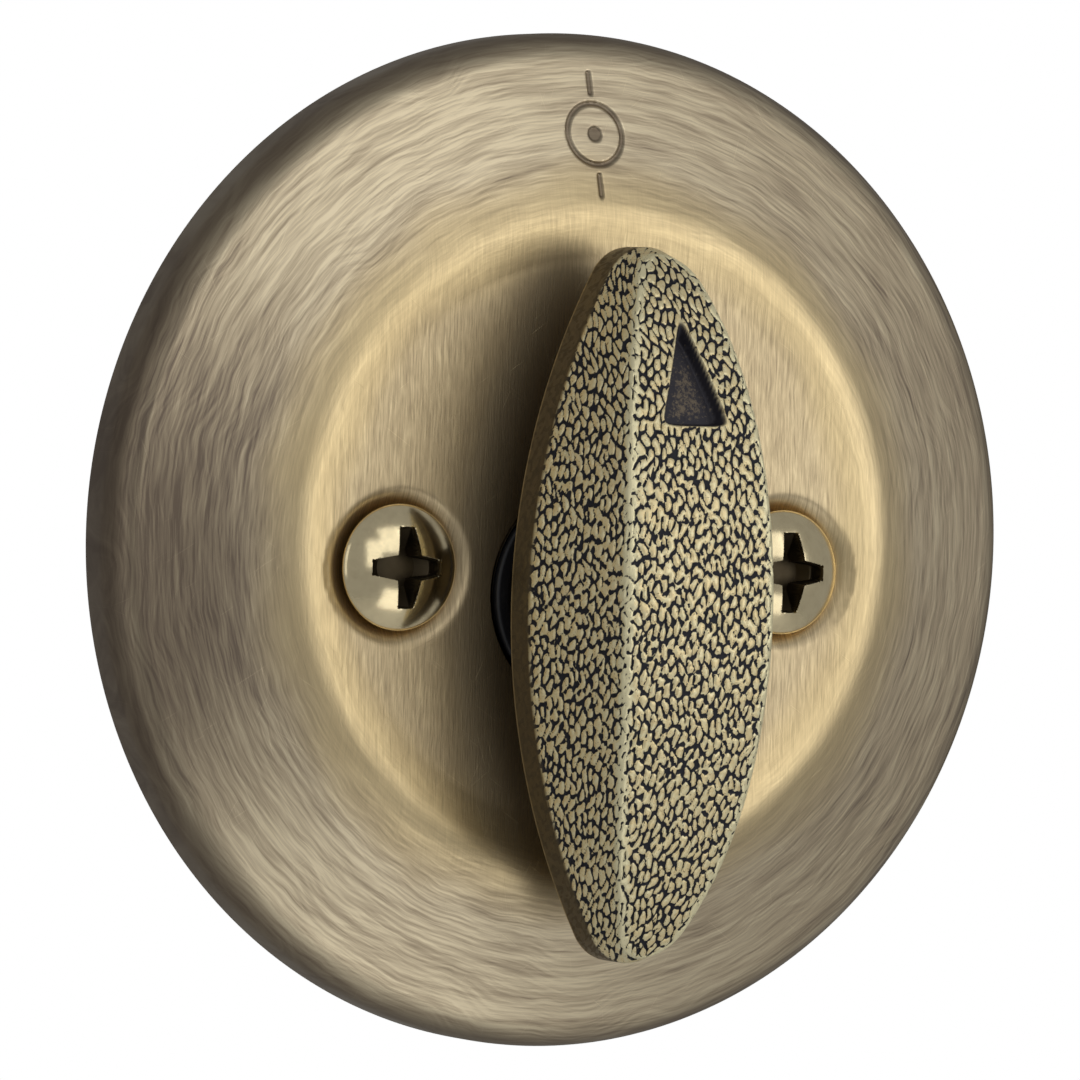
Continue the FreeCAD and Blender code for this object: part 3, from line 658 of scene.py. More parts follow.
def rounded(points: list[tuple[float, float, float]], per_corner: int = 6) -> np.ndarray:
    """A profile through corner points, each corner replaced by an arc.

    At a corner with fillet radius f the arc starts and ends f / tan(half the inner angle) along the two sides.

    Args:
        points: Radius, height and fillet radius of each corner.
        per_corner: The number of steps in each arc.

    Returns:
        The profile as rows of radius and height.
    """
    corners = np.array([p[:2] for p in points], float)
    rows = [corners[:1]]
    for before, corner, after, (_, _, fillet) in zip(corners, corners[1:], corners[2:], points[1:-1]):
        back = (before - corner) / np.linalg.norm(before - corner)
        ahead = (after - corner) / np.linalg.norm(after - corner)
        if fillet <= 0:
            rows.append(corner[None])
            continue
        half = math.acos(np.clip(back @ ahead, -1, 1)) / 2
        middle = (back + ahead) / np.linalg.norm(back + ahead)
        centre = corner + middle * fillet / math.sin(half)
        start = corner + back * fillet / math.tan(half) - centre
        end = corner + ahead * fillet / math.tan(half) - centre
        t = np.linspace(0, 1, per_corner + 1)[:, None]
        turn = math.acos(np.clip(start @ end / fillet**2, -1, 1))
        rows.append(centre + (np.sin((1 - t) * turn) * start + np.sin(t * turn) * end) / math.sin(turn))
    rows.append(corners[-1:])
    return np.concatenate(rows)


def lathe(profile: np.ndarray, angles: np.ndarray, centre: tuple[float, float] = (0.0, 0.0)) -> np.ndarray:
    """Carries a profile of radius and height round a line along Y.

    Args:
        profile: Rows of radius and height.
        angles: The angles of the columns, in radians.
        centre: The line's place in X and Z.

    Returns:
        Rows by columns by three: x = cx + r cos a, y = -h, z = cz + r sin a.
    """
    radius, high = profile[:, :1], profile[:, 1:2]
    x = centre[0] + radius * np.cos(angles)
    z = centre[1] + radius * np.sin(angles)
    return np.stack([x, np.broadcast_to(-high, x.shape), z], axis=-1)


def full_turn(count: int) -> np.ndarray:
    """Even angles once round, without the repeated end."""
    return np.linspace(0, 2 * math.pi, count, endpoint=False)


def ease(value: np.ndarray) -> np.ndarray:
    """A smooth step of values cut to 0 and 1: 3t^2 - 2t^3."""
    t = np.clip(value, 0, 1)
    return t * t * (3 - 2 * t)


# ---------------------------------------------------------------- rose


@dataclass
class Rose:
    """The spun rose: a torus-like grid whose rows run from the spindle hole over the dome and back inside."""

    outer_r: float = 33.35
    sheet: float = 1.0
    rim_high: float = 2.1
    rim_round: float = 2.7
    crest_r: float = 20.9
    crest_high: float = 7.45
    crest_round: float = 6.0
    crest_inner: float = math.radians(4.0)
    plateau: float = 7.3
    hole_r: float = 7.25
    even_from_r: float = 12.0
    dimple_r: float = 5.35
    lip: float = 1.0
    slope: float = math.radians(33.9)
    neck_r: float = 2.9
    foot_high: float = 4.6
    mark_rise: float = 26.7
    mark_ring_r: float = 2.0
    mark_dot_r: float = 0.5
    mark_tick: tuple[float, float] = (2.7, 4.0)
    mark_half_stroke: float = 0.16
    mark_depth: float = 0.15
    dome_steps: tuple[int, int, int, int, int] = (26, 10, 14, 118, 16)
    inside_steps: tuple[int, int, int, int, int] = (8, 2, 3, 8, 4)
    hole_rows: tuple[int, int] = (30, 4)
    column_count: int = 420
    sampled_angles: int = 4001

    def dome(self, inset: float, steps: tuple[int, int, int, int, int]) -> np.ndarray:
        """The profile from the even rings to the rim's foot.

        A cone touches a small round at the rim and a large round at the crest; a shallow cone leads in to the
        flat plateau. An inset moves every stretch inwards by the same distance.

        Args:
            inset: How far the profile lies inside the outer face.
            steps: Steps on the plateau, the inner slope, the crest, the band and the rim.

        Returns:
            Rows of radius and height.
        """
        rim = np.array([self.outer_r - self.rim_round, self.rim_high])
        crest = np.array([self.crest_r, self.crest_high - self.crest_round])
        gap = rim - crest
        band = math.asin((self.crest_round - self.rim_round) / np.hypot(*gap)) - math.atan2(gap[1], gap[0])
        top = self.plateau - inset
        crest_round = self.crest_round - inset
        crest_turn = np.linspace(math.pi / 2 + self.crest_inner, math.pi / 2 - band, steps[2] + 1)
        crest_arc = crest + crest_round * np.stack([np.cos(crest_turn), np.sin(crest_turn)], axis=1)
        foot = crest_arc[0, 0] - (crest_arc[0, 1] - top) / math.tan(self.crest_inner)
        rim_turn = np.linspace(math.pi / 2 - band, 0, steps[4] + 1)
        rim_arc = rim + (self.rim_round - inset) * np.stack([np.cos(rim_turn), np.sin(rim_turn)], axis=1)
        flat = np.stack([np.linspace(self.even_from_r, foot, steps[0] + 1), np.full(steps[0] + 1, top)], axis=1)
        rise = np.linspace(flat[-1], crest_arc[0], steps[1] + 1)
        cone = np.linspace(crest_arc[-1], rim_arc[0], steps[3] + 1)
        return np.concatenate([flat[:-1], rise[:-1], crest_arc[:-1], cone[:-1], rim_arc])

    def dimple(self, gap: np.ndarray) -> np.ndarray:
        """The height of a dimple's face at a distance from the screw's line.

        Outside the lip there is no dimple; the lip is an arc, then a cone falls to the screw's neck and a steep
        funnel to the foot.

        Args:
            gap: Distances from the screw's line.

        Returns:
            Heights.
        """
        lip_start = self.dimple_r - self.lip * math.sin(self.slope)
        lip_high = self.plateau - self.lip * (1 - math.cos(self.slope))
        arc = self.plateau - self.lip + np.sqrt(np.clip(self.lip**2 - (self.dimple_r - gap) ** 2, 0, None))
        cone = lip_high - (lip_start - gap) * math.tan(self.slope)
        neck_high = lip_high - (lip_start - self.neck_r) * math.tan(self.slope)
        funnel = np.maximum(self.foot_high + 0.02, neck_high - (self.neck_r - gap) * 5.0)
        high = np.where(gap > lip_start, arc, cone)
        high = np.where(gap < self.neck_r, funnel, high)
        return np.where(gap > self.dimple_r, np.inf, high)

    def mark(self, x: np.ndarray, z: np.ndarray) -> np.ndarray:
        """How deep in the index mark's strokes a point is, from 0 to 1: a ring, a dot and two ticks.

        Args:
            x: Places across.
            z: Places up.

        Returns:
            From 0, outside, to 1.
        """
        across = x
        along = z - ROSE_CENTRE_Z - self.mark_rise
        reach = np.hypot(across, along)
        ring = np.abs(reach - self.mark_ring_r)
        dot = reach - self.mark_dot_r + self.mark_half_stroke
        middle = (self.mark_tick[0] + self.mark_tick[1]) / 2
        half = (self.mark_tick[1] - self.mark_tick[0]) / 2
        past = np.maximum(np.abs(np.abs(along) - middle) - half, 0)
        tick = np.hypot(across, past)
        return ease(1.5 - np.minimum(np.minimum(ring, tick), dot) / self.mark_half_stroke)

    def columns(self) -> np.ndarray:
        """Angles once round, set closer through the dimples and the mark.

        Returns:
            The columns' angles.
        """
        even = np.linspace(0, 2 * math.pi, self.sampled_angles)
        closeness = 1 + 6.5 * np.exp(-(((even - math.pi / 2) / math.radians(6.5)) ** 6))
        for middle in (0, math.pi, 2 * math.pi):
            closeness = closeness + 0.9 * np.exp(-(((even - middle) / math.radians(24)) ** 6))
        total = np.cumsum(closeness)
        total = (total - total[0]) / (total[-1] - total[0])
        return np.interp(np.linspace(0, 1, self.column_count, endpoint=False), total, even)

    def skin(self, profile: np.ndarray, angles: np.ndarray, near: int, thick: float) -> np.ndarray:
        """One face of the sheet.

        The first rows blend from the spindle hole's circle to a circle about the rose's centre; the rest follow
        the profile. Where a dimple is lower than the dome, the dimple's height is taken.

        Args:
            profile: Rows of radius and height outside the even ring.
            angles: The columns' angles.
            near: The number of blended rows.
            thick: How far below the outer face this face lies.

        Returns:
            Rows by columns by three.
        """
        share = np.linspace(0, 1, near, endpoint=False)
        radius = np.concatenate([self.hole_r + (self.even_from_r - self.hole_r) * share, profile[:, 0]])
        centre = np.concatenate([ROSE_CENTRE_Z * share, np.full(len(profile), ROSE_CENTRE_Z)])
        high = np.concatenate([np.full(near, self.plateau - thick), profile[:, 1]])
        x = radius[:, None] * np.cos(angles)
        z = centre[:, None] + radius[:, None] * np.sin(angles)
        level = np.broadcast_to(high[:, None], x.shape)
        for side in (-1, 1):
            gap = np.hypot(x - side * SCREW_X, z - SCREW_Z)
            level = np.minimum(level, np.maximum(self.dimple(gap) - 1.2 * thick, self.foot_high))
        return np.stack([x, -level, z], axis=-1)

    def build(self) -> bpy.types.Object:
        """Makes the rose.

        Returns:
            The piece.
        """
        angles = self.columns()
        outer = self.skin(self.dome(0, self.dome_steps), angles, self.hole_rows[0], 0)
        groove = self.mark(outer[..., 0], outer[..., 2])
        outer[..., 1] += self.mark_depth * groove
        inner = self.skin(self.dome(self.sheet, self.inside_steps), angles, self.hole_rows[1], self.sheet)
        foot = rounded([(self.outer_r, self.rim_high, 0), (self.outer_r, 0, 0.3),
                        (self.outer_r - self.sheet, 0, 0.15), (self.outer_r - self.sheet, self.rim_high, 0)], 4)[1:-1]
        edge = lathe(foot, angles, (0.0, ROSE_CENTRE_Z))
        lip = rounded([(self.hole_r, self.plateau - self.sheet, 0), (self.hole_r, self.plateau, 0.3),
                       (self.hole_r + 1, self.plateau, 0)], 5)[1:-1]
        outer[0] = lathe(lip[-1:], angles)[0]
        hole = lathe(lip[:-1], angles)
        rows = [outer, edge, inner[::-1], hole]
        groove = np.concatenate([groove] + [np.zeros(r.shape[:2]) for r in rows[1:]])
        patch = Patchwork("rose_shell")
        patch.grid(np.concatenate(rows), wrap_rows=True, wrap_cols=True, groove=groove)
        finish = BrushedBrass("brushed_antique_brass").build()
        return patch.build(finish, Body.FRAME, Slot.ANTIQUE_BRASS, "rose")


# ---------------------------------------------------------------- thumb turn


@dataclass
class ThumbTurn:
    """The thumb turn: a section carried along Z, its sides leaning in to a crowned front, all covered in grain."""

    centre_z: float = -0.45
    half_width: float = 8.0
    arc_r: float = 46.3
    tip_r: float = 3.0
    back_high: float = 11.0
    flange_high: float = 13.3
    front_high: float = 21.75
    arch_r: float = 48.0
    side_lean: float = 2.6
    least_front: float = 0.55
    crown: float = 0.35
    tip_drop: float = 0.6
    tip_pull: float = 2.2
    arrow_z: float = 15.36
    arrow_height: float = 7.05
    arrow_base: float = 4.85
    arrow_sharp: float = 3.2
    arrow_depth: float = 1.0
    grain_depth: float = 0.16
    grain_pitch: float = 0.49
    side_pitch: float = 0.57
    pebble_stretch: float = 2.15
    wall_steps: int = 7
    lean_steps: int = 64
    neck_r: float = 5.1
    neck_end: float = -3.0
    neck_groove_r: float = 4.3
    neck_groove: Span = (1.6, 2.4)
    arrow_levels: Span = (11.4, 19.0)
    level_steps: tuple[int, int, int] = (228, 84, 18)
    tip_steps: int = 22
    front_steps: int = 46
    averagings: int = 5
    rubbed_width: float = 0.42
    seed: int = 11
    wave_count: int = 110
    lattice: int = 160
    pebble_shift: float = 0.36
    pebble_edge: float = 0.23

    def tip_centre(self) -> float:
        """How far the tip's round is from the middle: sqrt((R - r)^2 - (R - w)^2)."""
        return math.sqrt((self.arc_r - self.tip_r) ** 2 - (self.arc_r - self.half_width) ** 2)

    def side_end(self) -> float:
        """The level where the side's arc meets the tip's round."""
        return self.tip_centre() * self.arc_r / (self.arc_r - self.tip_r)

    def levels(self) -> np.ndarray:
        """Places along the piece: even in the middle, closer round the arrow, and by even turns round the tips.

        Returns:
            The levels, from the lower tip to the upper one.
        """
        centre = self.tip_centre()
        straight = self.side_end()
        start = math.asin((straight - centre) / self.tip_r)
        turn = np.linspace(start, math.pi / 2, self.tip_steps + 1)[1:]
        tip = centre + self.tip_r * np.sin(turn)
        low, high = self.arrow_levels
        below, beside, above = self.level_steps
        middle = joined((-straight, low, below), (low, high, beside), (high, straight, above))
        return np.concatenate([-tip[::-1], middle, tip])

    def outline(self, z: np.ndarray) -> np.ndarray:
        """Half the width at each level: the side arc, then the round tip.

        Args:
            z: The levels.

        Returns:
            The half widths.
        """
        centre = self.tip_centre()
        side = np.sqrt(self.arc_r**2 - z**2) - (self.arc_r - self.half_width)
        tip = np.sqrt(np.clip(self.tip_r**2 - (np.abs(z) - centre) ** 2, 0, None))
        return np.where(np.abs(z) < self.side_end(), side, tip)

    def front(self, z: np.ndarray) -> np.ndarray:
        """The height of the front's edge at each level: an arch that falls away at the tips."""
        past = np.clip((np.abs(z) - self.tip_centre()) / self.tip_r, 0, 1)
        return self.front_high - self.arch_r + np.sqrt(self.arch_r**2 - z**2) - self.tip_drop * past**2

    def sections(self, z: np.ndarray) -> np.ndarray:
        """The smooth form before grain.

        Each section runs from the left back edge up the flange wall, up the leaning side, over the crowned front
        and down the other side. Its corners are eased by averaging each point with its neighbours.

        Args:
            z: The levels.

        Returns:
            Rows by columns by three.
        """
        side = self.outline(z)
        top = self.front(z)
        rise = np.clip((top - self.flange_high) / (self.front_high - self.flange_high), 0, 1)
        front = np.maximum(self.least_front * side, side - self.side_lean * rise**2)
        wall = np.linspace(0, 1, self.wall_steps + 1)[None, :-1]
        lean = np.linspace(0, 1, self.lean_steps + 1)[None, :-1]
        half = np.linspace(-1, 0, self.front_steps + 1)[None, :]
        x = np.concatenate([-side[:, None] * np.ones_like(wall),
                            -side[:, None] + (side - front)[:, None] * lean,
                            front[:, None] * half], axis=1)
        bow = (self.crown * side / self.half_width)[:, None]
        high = np.concatenate([self.back_high + (self.flange_high - self.back_high) * wall * np.ones_like(x[:, :1]),
                               self.flange_high + (top - self.flange_high)[:, None] * lean,
                               top[:, None] + bow * (1 - half**2)], axis=1)
        x = np.concatenate([x, -x[:, -2::-1]], axis=1)
        high = np.concatenate([high, high[:, -2::-1]], axis=1)
        for _ in range(self.averagings):
            x[:, 1:-1] = (x[:, :-2] + x[:, 1:-1] + x[:, 2:]) / 3
            high[:, 1:-1] = (high[:, :-2] + high[:, 1:-1] + high[:, 2:]) / 3
        share = np.clip((high - self.flange_high) / (self.front_high - self.flange_high), 0, 1)
        pull = self.tip_pull * share * (np.abs(z) / np.abs(z).max())[:, None] ** 6
        level = z[:, None] - np.sign(z)[:, None] * pull
        return np.stack([x, -high, level], axis=-1)

    def arrow(self, x: np.ndarray, z: np.ndarray) -> np.ndarray:
        """Signed distance to the arrow's rounded outline, negative inside: a soft maximum of three half-planes.

        Args:
            x: Places across.
            z: Places up.

        Returns:
            The distances.
        """
        up = z - self.arrow_z
        slant = math.hypot(self.arrow_height, self.arrow_base / 2)
        nx, nz = self.arrow_height / slant, self.arrow_base / 2 / slant
        top = up - self.arrow_height / 2
        planes = (x * nx + top * nz, -x * nx + top * nz, -(up + self.arrow_height / 2))
        return np.log(sum(np.exp(self.arrow_sharp * plane) for plane in planes)) / self.arrow_sharp

    def pebbles(self, across: np.ndarray, along: np.ndarray) -> np.ndarray:
        """How far each point stands inside a pebble: 0 in a groove, rising to about 0.8 at a pebble's middle.

        The pebbles' middles are a brick lattice, each moved a little at random. A point's value is its distance to
        the second nearest middle less its distance to the nearest one, which is 0 halfway between two middles.

        Args:
            across: Place across the piece, counted in pebbles.
            along: Place along the piece, counted in pebbles.

        Returns:
            The values.
        """
        draws = np.random.default_rng(self.seed).uniform(-1.0, 1.0, (self.lattice, self.lattice, 2))
        shift = draws * self.pebble_shift
        nearest = np.full(across.shape, 9.0)
        second = nearest.copy()
        for step_across in (-1, 0, 1):
            column = np.floor(across).astype(int) + step_across
            brick = 0.5 * (column % 2)
            for step_along in (-1, 0, 1):
                row = np.floor(along - brick).astype(int) + step_along
                moved = shift[column % self.lattice, row % self.lattice]
                far = np.hypot(across - column - 0.5 - moved[..., 0], along - row - 0.5 - brick - moved[..., 1])
                second = np.minimum(second, np.maximum(nearest, far))
                nearest = np.minimum(nearest, far)
        return second - nearest

    def grain(self, across: np.ndarray, along: np.ndarray, mottled: np.ndarray) -> np.ndarray:
        """Irregular pebbles drawn out along the piece, made uneven by a sum of many seeded plane waves.

        One set of waves lies mostly across the piece and another lies every way. All are about one pebble wide.

        Args:
            across: Place across the piece, counted in pebbles.
            along: Place along the piece, counted in pebble widths.
            mottled: The share of the waves that lie every way.

        Returns:
            Values about 0.5, higher on a pebble.
        """
        seeded = np.random.default_rng(self.seed)
        total = np.zeros(across.shape)
        for _ in range(self.wave_count):
            beat = 2 * math.pi * (1 + 0.22 * seeded.standard_normal())
            drift = 2 * math.pi * 0.66 * seeded.standard_normal()
            phase = seeded.uniform(0, 2 * math.pi)
            total += (1 - mottled) * np.cos(beat * across + drift * along + phase)
            angle = seeded.uniform(0, math.pi)
            beat = 2 * math.pi * 0.85 * (1 + 0.2 * seeded.standard_normal())
            total += mottled * np.cos(beat * (math.cos(angle) * across + math.sin(angle) * along * 0.8) - phase)
        uneven = total / math.sqrt(self.wave_count / 2)
        bent = across + 0.32 * np.sin(along * 0.9 + 1.7 * np.sin(across * 0.31)) + 0.06 * uneven
        inside = self.pebbles(bent, along / self.pebble_stretch)
        return np.clip(0.47 + (inside - self.pebble_edge) * 0.55 + 0.05 * uneven, 0, 1)

    def build(self) -> bpy.types.Object:
        """Makes the head with its grain and arrow, the back and the neck as one piece.

        Returns:
            The piece.
        """
        z = self.levels()
        form = self.sections(z)
        high = -form[..., 1]
        across, along = self.unrolled(form)
        edge = self.front_edge(form)
        round_top = ease((form[..., 2] - 6.0) / 12.0) * 0.38 + 0.14
        grain = self.grain(across, along, round_top)
        grain = np.clip(grain + 0.09 * edge, 0, 1)
        textured = ease((high - self.flange_high + 0.1) / 0.3)
        shape = self.arrow(form[..., 0], form[..., 2]) + np.where(high < self.flange_high, 9.0, 0.0)
        recess = np.clip((0.06 - shape) / 0.26, 0, 1)
        rim = ease(shape / 0.32)
        sunk = self.grain_depth * (1 - ease((grain - 0.36) / 0.16)) * textured * rim
        moved = form - self.normals(form) * (sunk + self.arrow_depth * recess)[..., None]
        moved[..., 2] += self.centre_z
        back = self.back(moved)
        blank = np.zeros(back.shape[:2])
        flange_edge = ease(1 - (high - self.back_high) / 0.4) * (1 - textured)
        patch = Patchwork("thumb_turn")
        patch.grid(np.concatenate([moved, back], axis=1), wrap_cols=True,
                   grain=np.concatenate([grain + (1 - rim) * 0.13, blank], axis=1),
                   wear=np.concatenate([np.maximum(edge, flange_edge), blank + 0.3], axis=1),
                   smooth=np.concatenate([1 - textured, blank + 1], axis=1),
                   # The recess share darkens the arrow recess: its floor is blackened, its walls get painted shade.
                   recess=np.concatenate([ease((0.12 - shape) / 0.12), blank], axis=1),
                   dust=np.concatenate([np.clip(-shape, 0, 1), blank], axis=1))
        low, high = self.neck_groove
        top = self.back_high + 1
        neck = rounded([(0, top, 0), (self.neck_r, top, 0), (self.neck_r, high, 0), (self.neck_groove_r, high, 0),
                        (self.neck_groove_r, low, 0), (self.neck_r, low, 0), (self.neck_r, self.neck_end, 0.4),
                        (0, self.neck_end, 0)])
        turned = lathe(neck, full_turn(72))
        ones = np.ones(turned.shape[:2])
        patch.grid(turned, wrap_cols=True, smooth=ones, wear=ones * 0.2)
        return patch.build(GrainedBrass("grained_brass").build(), Body.TURN, Slot.GRAINED_BRASS, "turn_piece",
                           sharp_deg=70)

    def unrolled(self, form: np.ndarray) -> tuple[np.ndarray, np.ndarray]:
        """Arc lengths across and along the piece from its middle, in islands' widths.

        The islands are wider on the leaning sides than on the front.

        Args:
            form: The smooth form.

        Returns:
            The places across and along.
        """
        steps = np.linalg.norm(np.diff(form, axis=1), axis=2)
        column = np.arange(steps.shape[1])
        first = self.wall_steps + self.lean_steps
        front = (column >= first) & (column < steps.shape[1] - first)
        pitch = np.where(front, self.grain_pitch, self.side_pitch)
        across = np.concatenate([np.zeros((len(form), 1)), np.cumsum(steps / pitch, axis=1)], axis=1)
        middle = form.shape[1] // 2
        spine = np.linalg.norm(np.diff(form[:, middle], axis=0), axis=1)
        along = np.concatenate([[0], np.cumsum(spine)])[:, None] / self.grain_pitch
        return across - across[:, middle:middle + 1], along + np.zeros_like(across)

    def front_edge(self, form: np.ndarray) -> np.ndarray:
        """How near each point is to the edges between sides and front, from 0 to 1, by straight distance.

        Args:
            form: The smooth form.

        Returns:
            From 0, far, to 1, on an edge.
        """
        first = self.wall_steps + self.lean_steps
        near = np.minimum(np.linalg.norm(form - form[:, first:first + 1], axis=2),
                          np.linalg.norm(form - form[:, -first - 1:-first], axis=2))
        return np.exp(-((near / self.rubbed_width) ** 2))

    def back(self, ring: np.ndarray) -> np.ndarray:
        """The flat back from the right edge to the left one, with a row set close to each edge.

        Args:
            ring: The columns of the head.

        Returns:
            The columns of the back.
        """
        share = np.array([0.0, 0.04, 0.25, 0.5, 0.75, 0.96, 1.0])[1:-1]
        right, left = ring[:, -1:], ring[:, :1]
        rows = right + (left - right) * share[None, :, None]
        rows[..., 1] = -self.back_high
        return rows

    @staticmethod
    def normals(form: np.ndarray) -> np.ndarray:
        """Outward unit normals of a grid, from the cross product of its two directions.

        Args:
            form: The grid.

        Returns:
            The normals.
        """
        down = np.gradient(form, axis=0)
        side = np.gradient(form, axis=1)
        normal = np.cross(side, down)
        length = np.linalg.norm(normal, axis=2, keepdims=True)
        return normal / np.where(length < 1e-9, 1, length)


# ---------------------------------------------------------------- screws and bushing


@dataclass
class OvalScrews:
    """The two oval-head screws: a domed head with a cross and a slot, and a threaded shank."""

    head_r: float = 4.1
    edge_high: float = 7.25
    land: float = 0.2
    dome: float = 1.5
    shank_r: float = 2.08
    length: float = 28.6
    pitch: float = 0.794
    thread_depth: float = 0.34
    cross_reach: tuple[float, float] = (2.2, 2.6)
    cross_depth: float = 2.0
    slot_half: tuple[float, float] = (2.45, 0.46)
    slot_depth: float = 1.1
    recess_wall: float = 0.09
    cone_half: float = math.radians(41)
    head_columns: int = 232
    shank_columns: int = 36
    shank_rows: int = 250
    shank_start: float = 2.2

    def recess(self, x: np.ndarray, z: np.ndarray) -> np.ndarray:
        """Depth of the driver recess: crossed tapering wings with a cone's floor, and a straight level slot.

        Args:
            x: Places across from the screw's line.
            z: Places up from the screw's line.

        Returns:
            The depths.
        """
        depth = np.clip((max(self.cross_reach) + 0.3 - np.hypot(x, z)) * 1.3, 0, self.cross_depth)
        wings = []
        for along, aside, reach in ((x, z, self.cross_reach[0]), (z, x, self.cross_reach[1])):
            half = 0.50 + 0.42 * np.clip(1 - np.abs(along) / reach, 0, 1)
            wings.append(np.maximum(np.abs(aside) - half, np.abs(along) - reach))
        cross = np.minimum(wings[0], wings[1])
        slot = np.maximum(np.abs(x) - self.slot_half[0], np.abs(z) - self.slot_half[1])
        crossed = depth * np.clip(0.5 - cross / self.recess_wall, 0, 1)
        slotted = self.slot_depth * np.clip(0.5 - slot / self.recess_wall, 0, 1)
        return np.maximum(crossed, slotted)

    def head(self, centre: tuple[float, float]) -> tuple[np.ndarray, np.ndarray]:
        """The head's grid and how deep each point is in the recess.

        The dome is a sphere's cap of radius (a^2 + b^2) / 2b; under its land a cone of 82 degrees runs in to the
        shank.

        Args:
            centre: The screw's place in X and Z.

        Returns:
            The points and the recess's share.
        """
        ball = (self.head_r**2 + self.dome**2) / (2 * self.dome)
        top = self.edge_high + self.land + self.dome
        radius = joined((0.0, 3.0, 62), (3.0, self.head_r - 0.12, 14))
        high = top - ball + np.sqrt(ball**2 - radius**2)
        cap = np.stack([radius, high], axis=1)
        cone = (self.head_r - self.shank_r) / math.tan(self.cone_half)
        under = rounded([(radius[-1], high[-1], 0), (self.head_r, self.edge_high + 0.12, 0.1),
                         (self.head_r, self.edge_high, 0.05), (self.shank_r, self.edge_high - cone, 0),
                         (0, self.edge_high - cone, 0)], 4)
        angles = full_turn(self.head_columns)
        grid = lathe(np.concatenate([cap, under[1:]]), angles, centre)
        depth = self.recess(grid[..., 0] - centre[0], grid[..., 2] - centre[1])
        depth[len(cap):] = 0
        grid[..., 1] += depth
        return grid, ease(depth / 0.5)

    def shank(self, centre: tuple[float, float]) -> np.ndarray:
        """The threaded shank: the radius falls by the thread's depth times a triangle wave of y / pitch + angle.

        Args:
            centre: The screw's place in X and Z.

        Returns:
            Rows by columns by three.
        """
        start = self.edge_high - self.shank_start
        end = self.edge_high - self.length
        high = np.linspace(start, end, self.shank_rows)[:, None]
        angles = full_turn(self.shank_columns)[None]
        phase = (high / self.pitch + angles / (2 * math.pi)) % 1.0
        tooth = np.abs(2 * phase - 1)
        near = ease((start - 1.5 - high) / 1.0) * ease((high - end) / 0.8)
        radius = self.shank_r - self.thread_depth * np.clip(tooth * 1.25 - 0.12, 0, 1) * near
        radius = radius * (0.86 + 0.14 * ease((high - end) / 0.6))
        ends = np.zeros((1, radius.shape[1]))
        radius = np.concatenate([ends, radius, ends])
        high = np.concatenate([high[:1], high, high[-1:]])
        x = centre[0] + radius * np.cos(angles)
        z = centre[1] + radius * np.sin(angles)
        return np.stack([x, np.broadcast_to(-high, x.shape), z], axis=-1)

    def build(self) -> bpy.types.Object:
        """Makes both screws as one piece.

        Returns:
            The piece.
        """
        patch = Patchwork("oval_screws")
        for side in (-1, 1):
            centre = (side * SCREW_X, SCREW_Z)
            grid, depth = self.head(centre)
            # The recess share darkens the driver recess as painted shade.
            patch.grid(grid, wrap_cols=True, recess=depth)
            patch.grid(self.shank(centre), wrap_cols=True)
        return patch.build(PolishedBrass("polished_brass").build(), Body.FRAME, Slot.POLISHED_BRASS,
                           "mounting_screws", sharp_deg=32)


@dataclass
class Bushing:
    """The black bushing in the spindle hole."""

    bore_r: float = 5.18
    outer_r: float = 7.2
    high: float = 7.6
    step_r: float = 6.35
    step: float = 0.45
    flange_r: float = 8.2
    flange_high: float = 6.2
    foot_high: float = 4.6
    boss_r: float = 6.9
    boss_high: float = 3.2

    def build(self) -> bpy.types.Object:
        """Turns a closed profile: bore, stepped face, body, flange and boss.

        Returns:
            The piece.
        """
        corners = [(self.bore_r, 5, 0), (self.bore_r, self.high - self.step, 0.15),
                   (self.step_r, self.high - self.step, 0.08), (self.step_r, self.high, 0.08),
                   (self.outer_r, self.high, 0.25), (self.outer_r, self.flange_high, 0.05),
                   (self.flange_r, self.flange_high, 0.2), (self.flange_r, self.foot_high, 0.1),
                   (self.boss_r, self.foot_high, 0.05), (self.boss_r, self.boss_high, 0.2),
                   (self.bore_r, self.boss_high, 0.1), (self.bore_r, 5, 0)]
        patch = Patchwork("turn_bushing_ring")
        patch.grid(lathe(rounded(corners, 5), full_turn(160)), wrap_cols=True)
        return patch.build(Nylon("black_nylon").build(), Body.FRAME, Slot.BLACK_NYLON, "turn_bushing")


# ---------------------------------------------------------------- carried-over parts


@dataclass(frozen=True)
class Fittings:
    """CAD nodes that keep their shape and share one worked finish."""

    finish: Steel | PolishedBrass
    nodes: tuple[str, ...]

    def dress(self) -> None:
        """Makes the finish and puts it on every material slot of the nodes."""
        made = self.finish.build()
        for node in self.nodes:
            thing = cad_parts[node]
            if not thing.material_slots:
                thing.data.materials.append(None)
            for place in thing.material_slots:
                place.material = made
            LOG.info("%s: dressed in %s", node, self.finish.name)


ROLLED = Steel("zinc_plated_sheet", (0.60, 0.59, 0.55), (0.40, 0.37, 0.30), Lay.ALONG_X)
TURNED = Steel("turned_steel", (0.58, 0.57, 0.55), (0.34, 0.32, 0.29), Lay.ALONG_X, rough=0.26)
BLUED = Steel("blued_spring_steel", (0.16, 0.17, 0.21), (0.28, 0.20, 0.13), Lay.EVEN, rough=0.36)
CAST = Steel("cast_zinc", (0.47, 0.47, 0.46), (0.30, 0.30, 0.29), Lay.EVEN, rough=0.46, mark_depth=0.03)
PLATE = Steel("brushed_brass_plate", (0.62, 0.50, 0.30), (0.27, 0.20, 0.12), Lay.ALONG_Z, rough=0.32,
              stain_share=0.7)
BOLT = Steel("brass_plated_bolt", (0.66, 0.54, 0.34), (0.36, 0.28, 0.17), Lay.ALONG_X, rough=0.26)
BRIGHT = PolishedBrass("polished_brass_plate_screws")

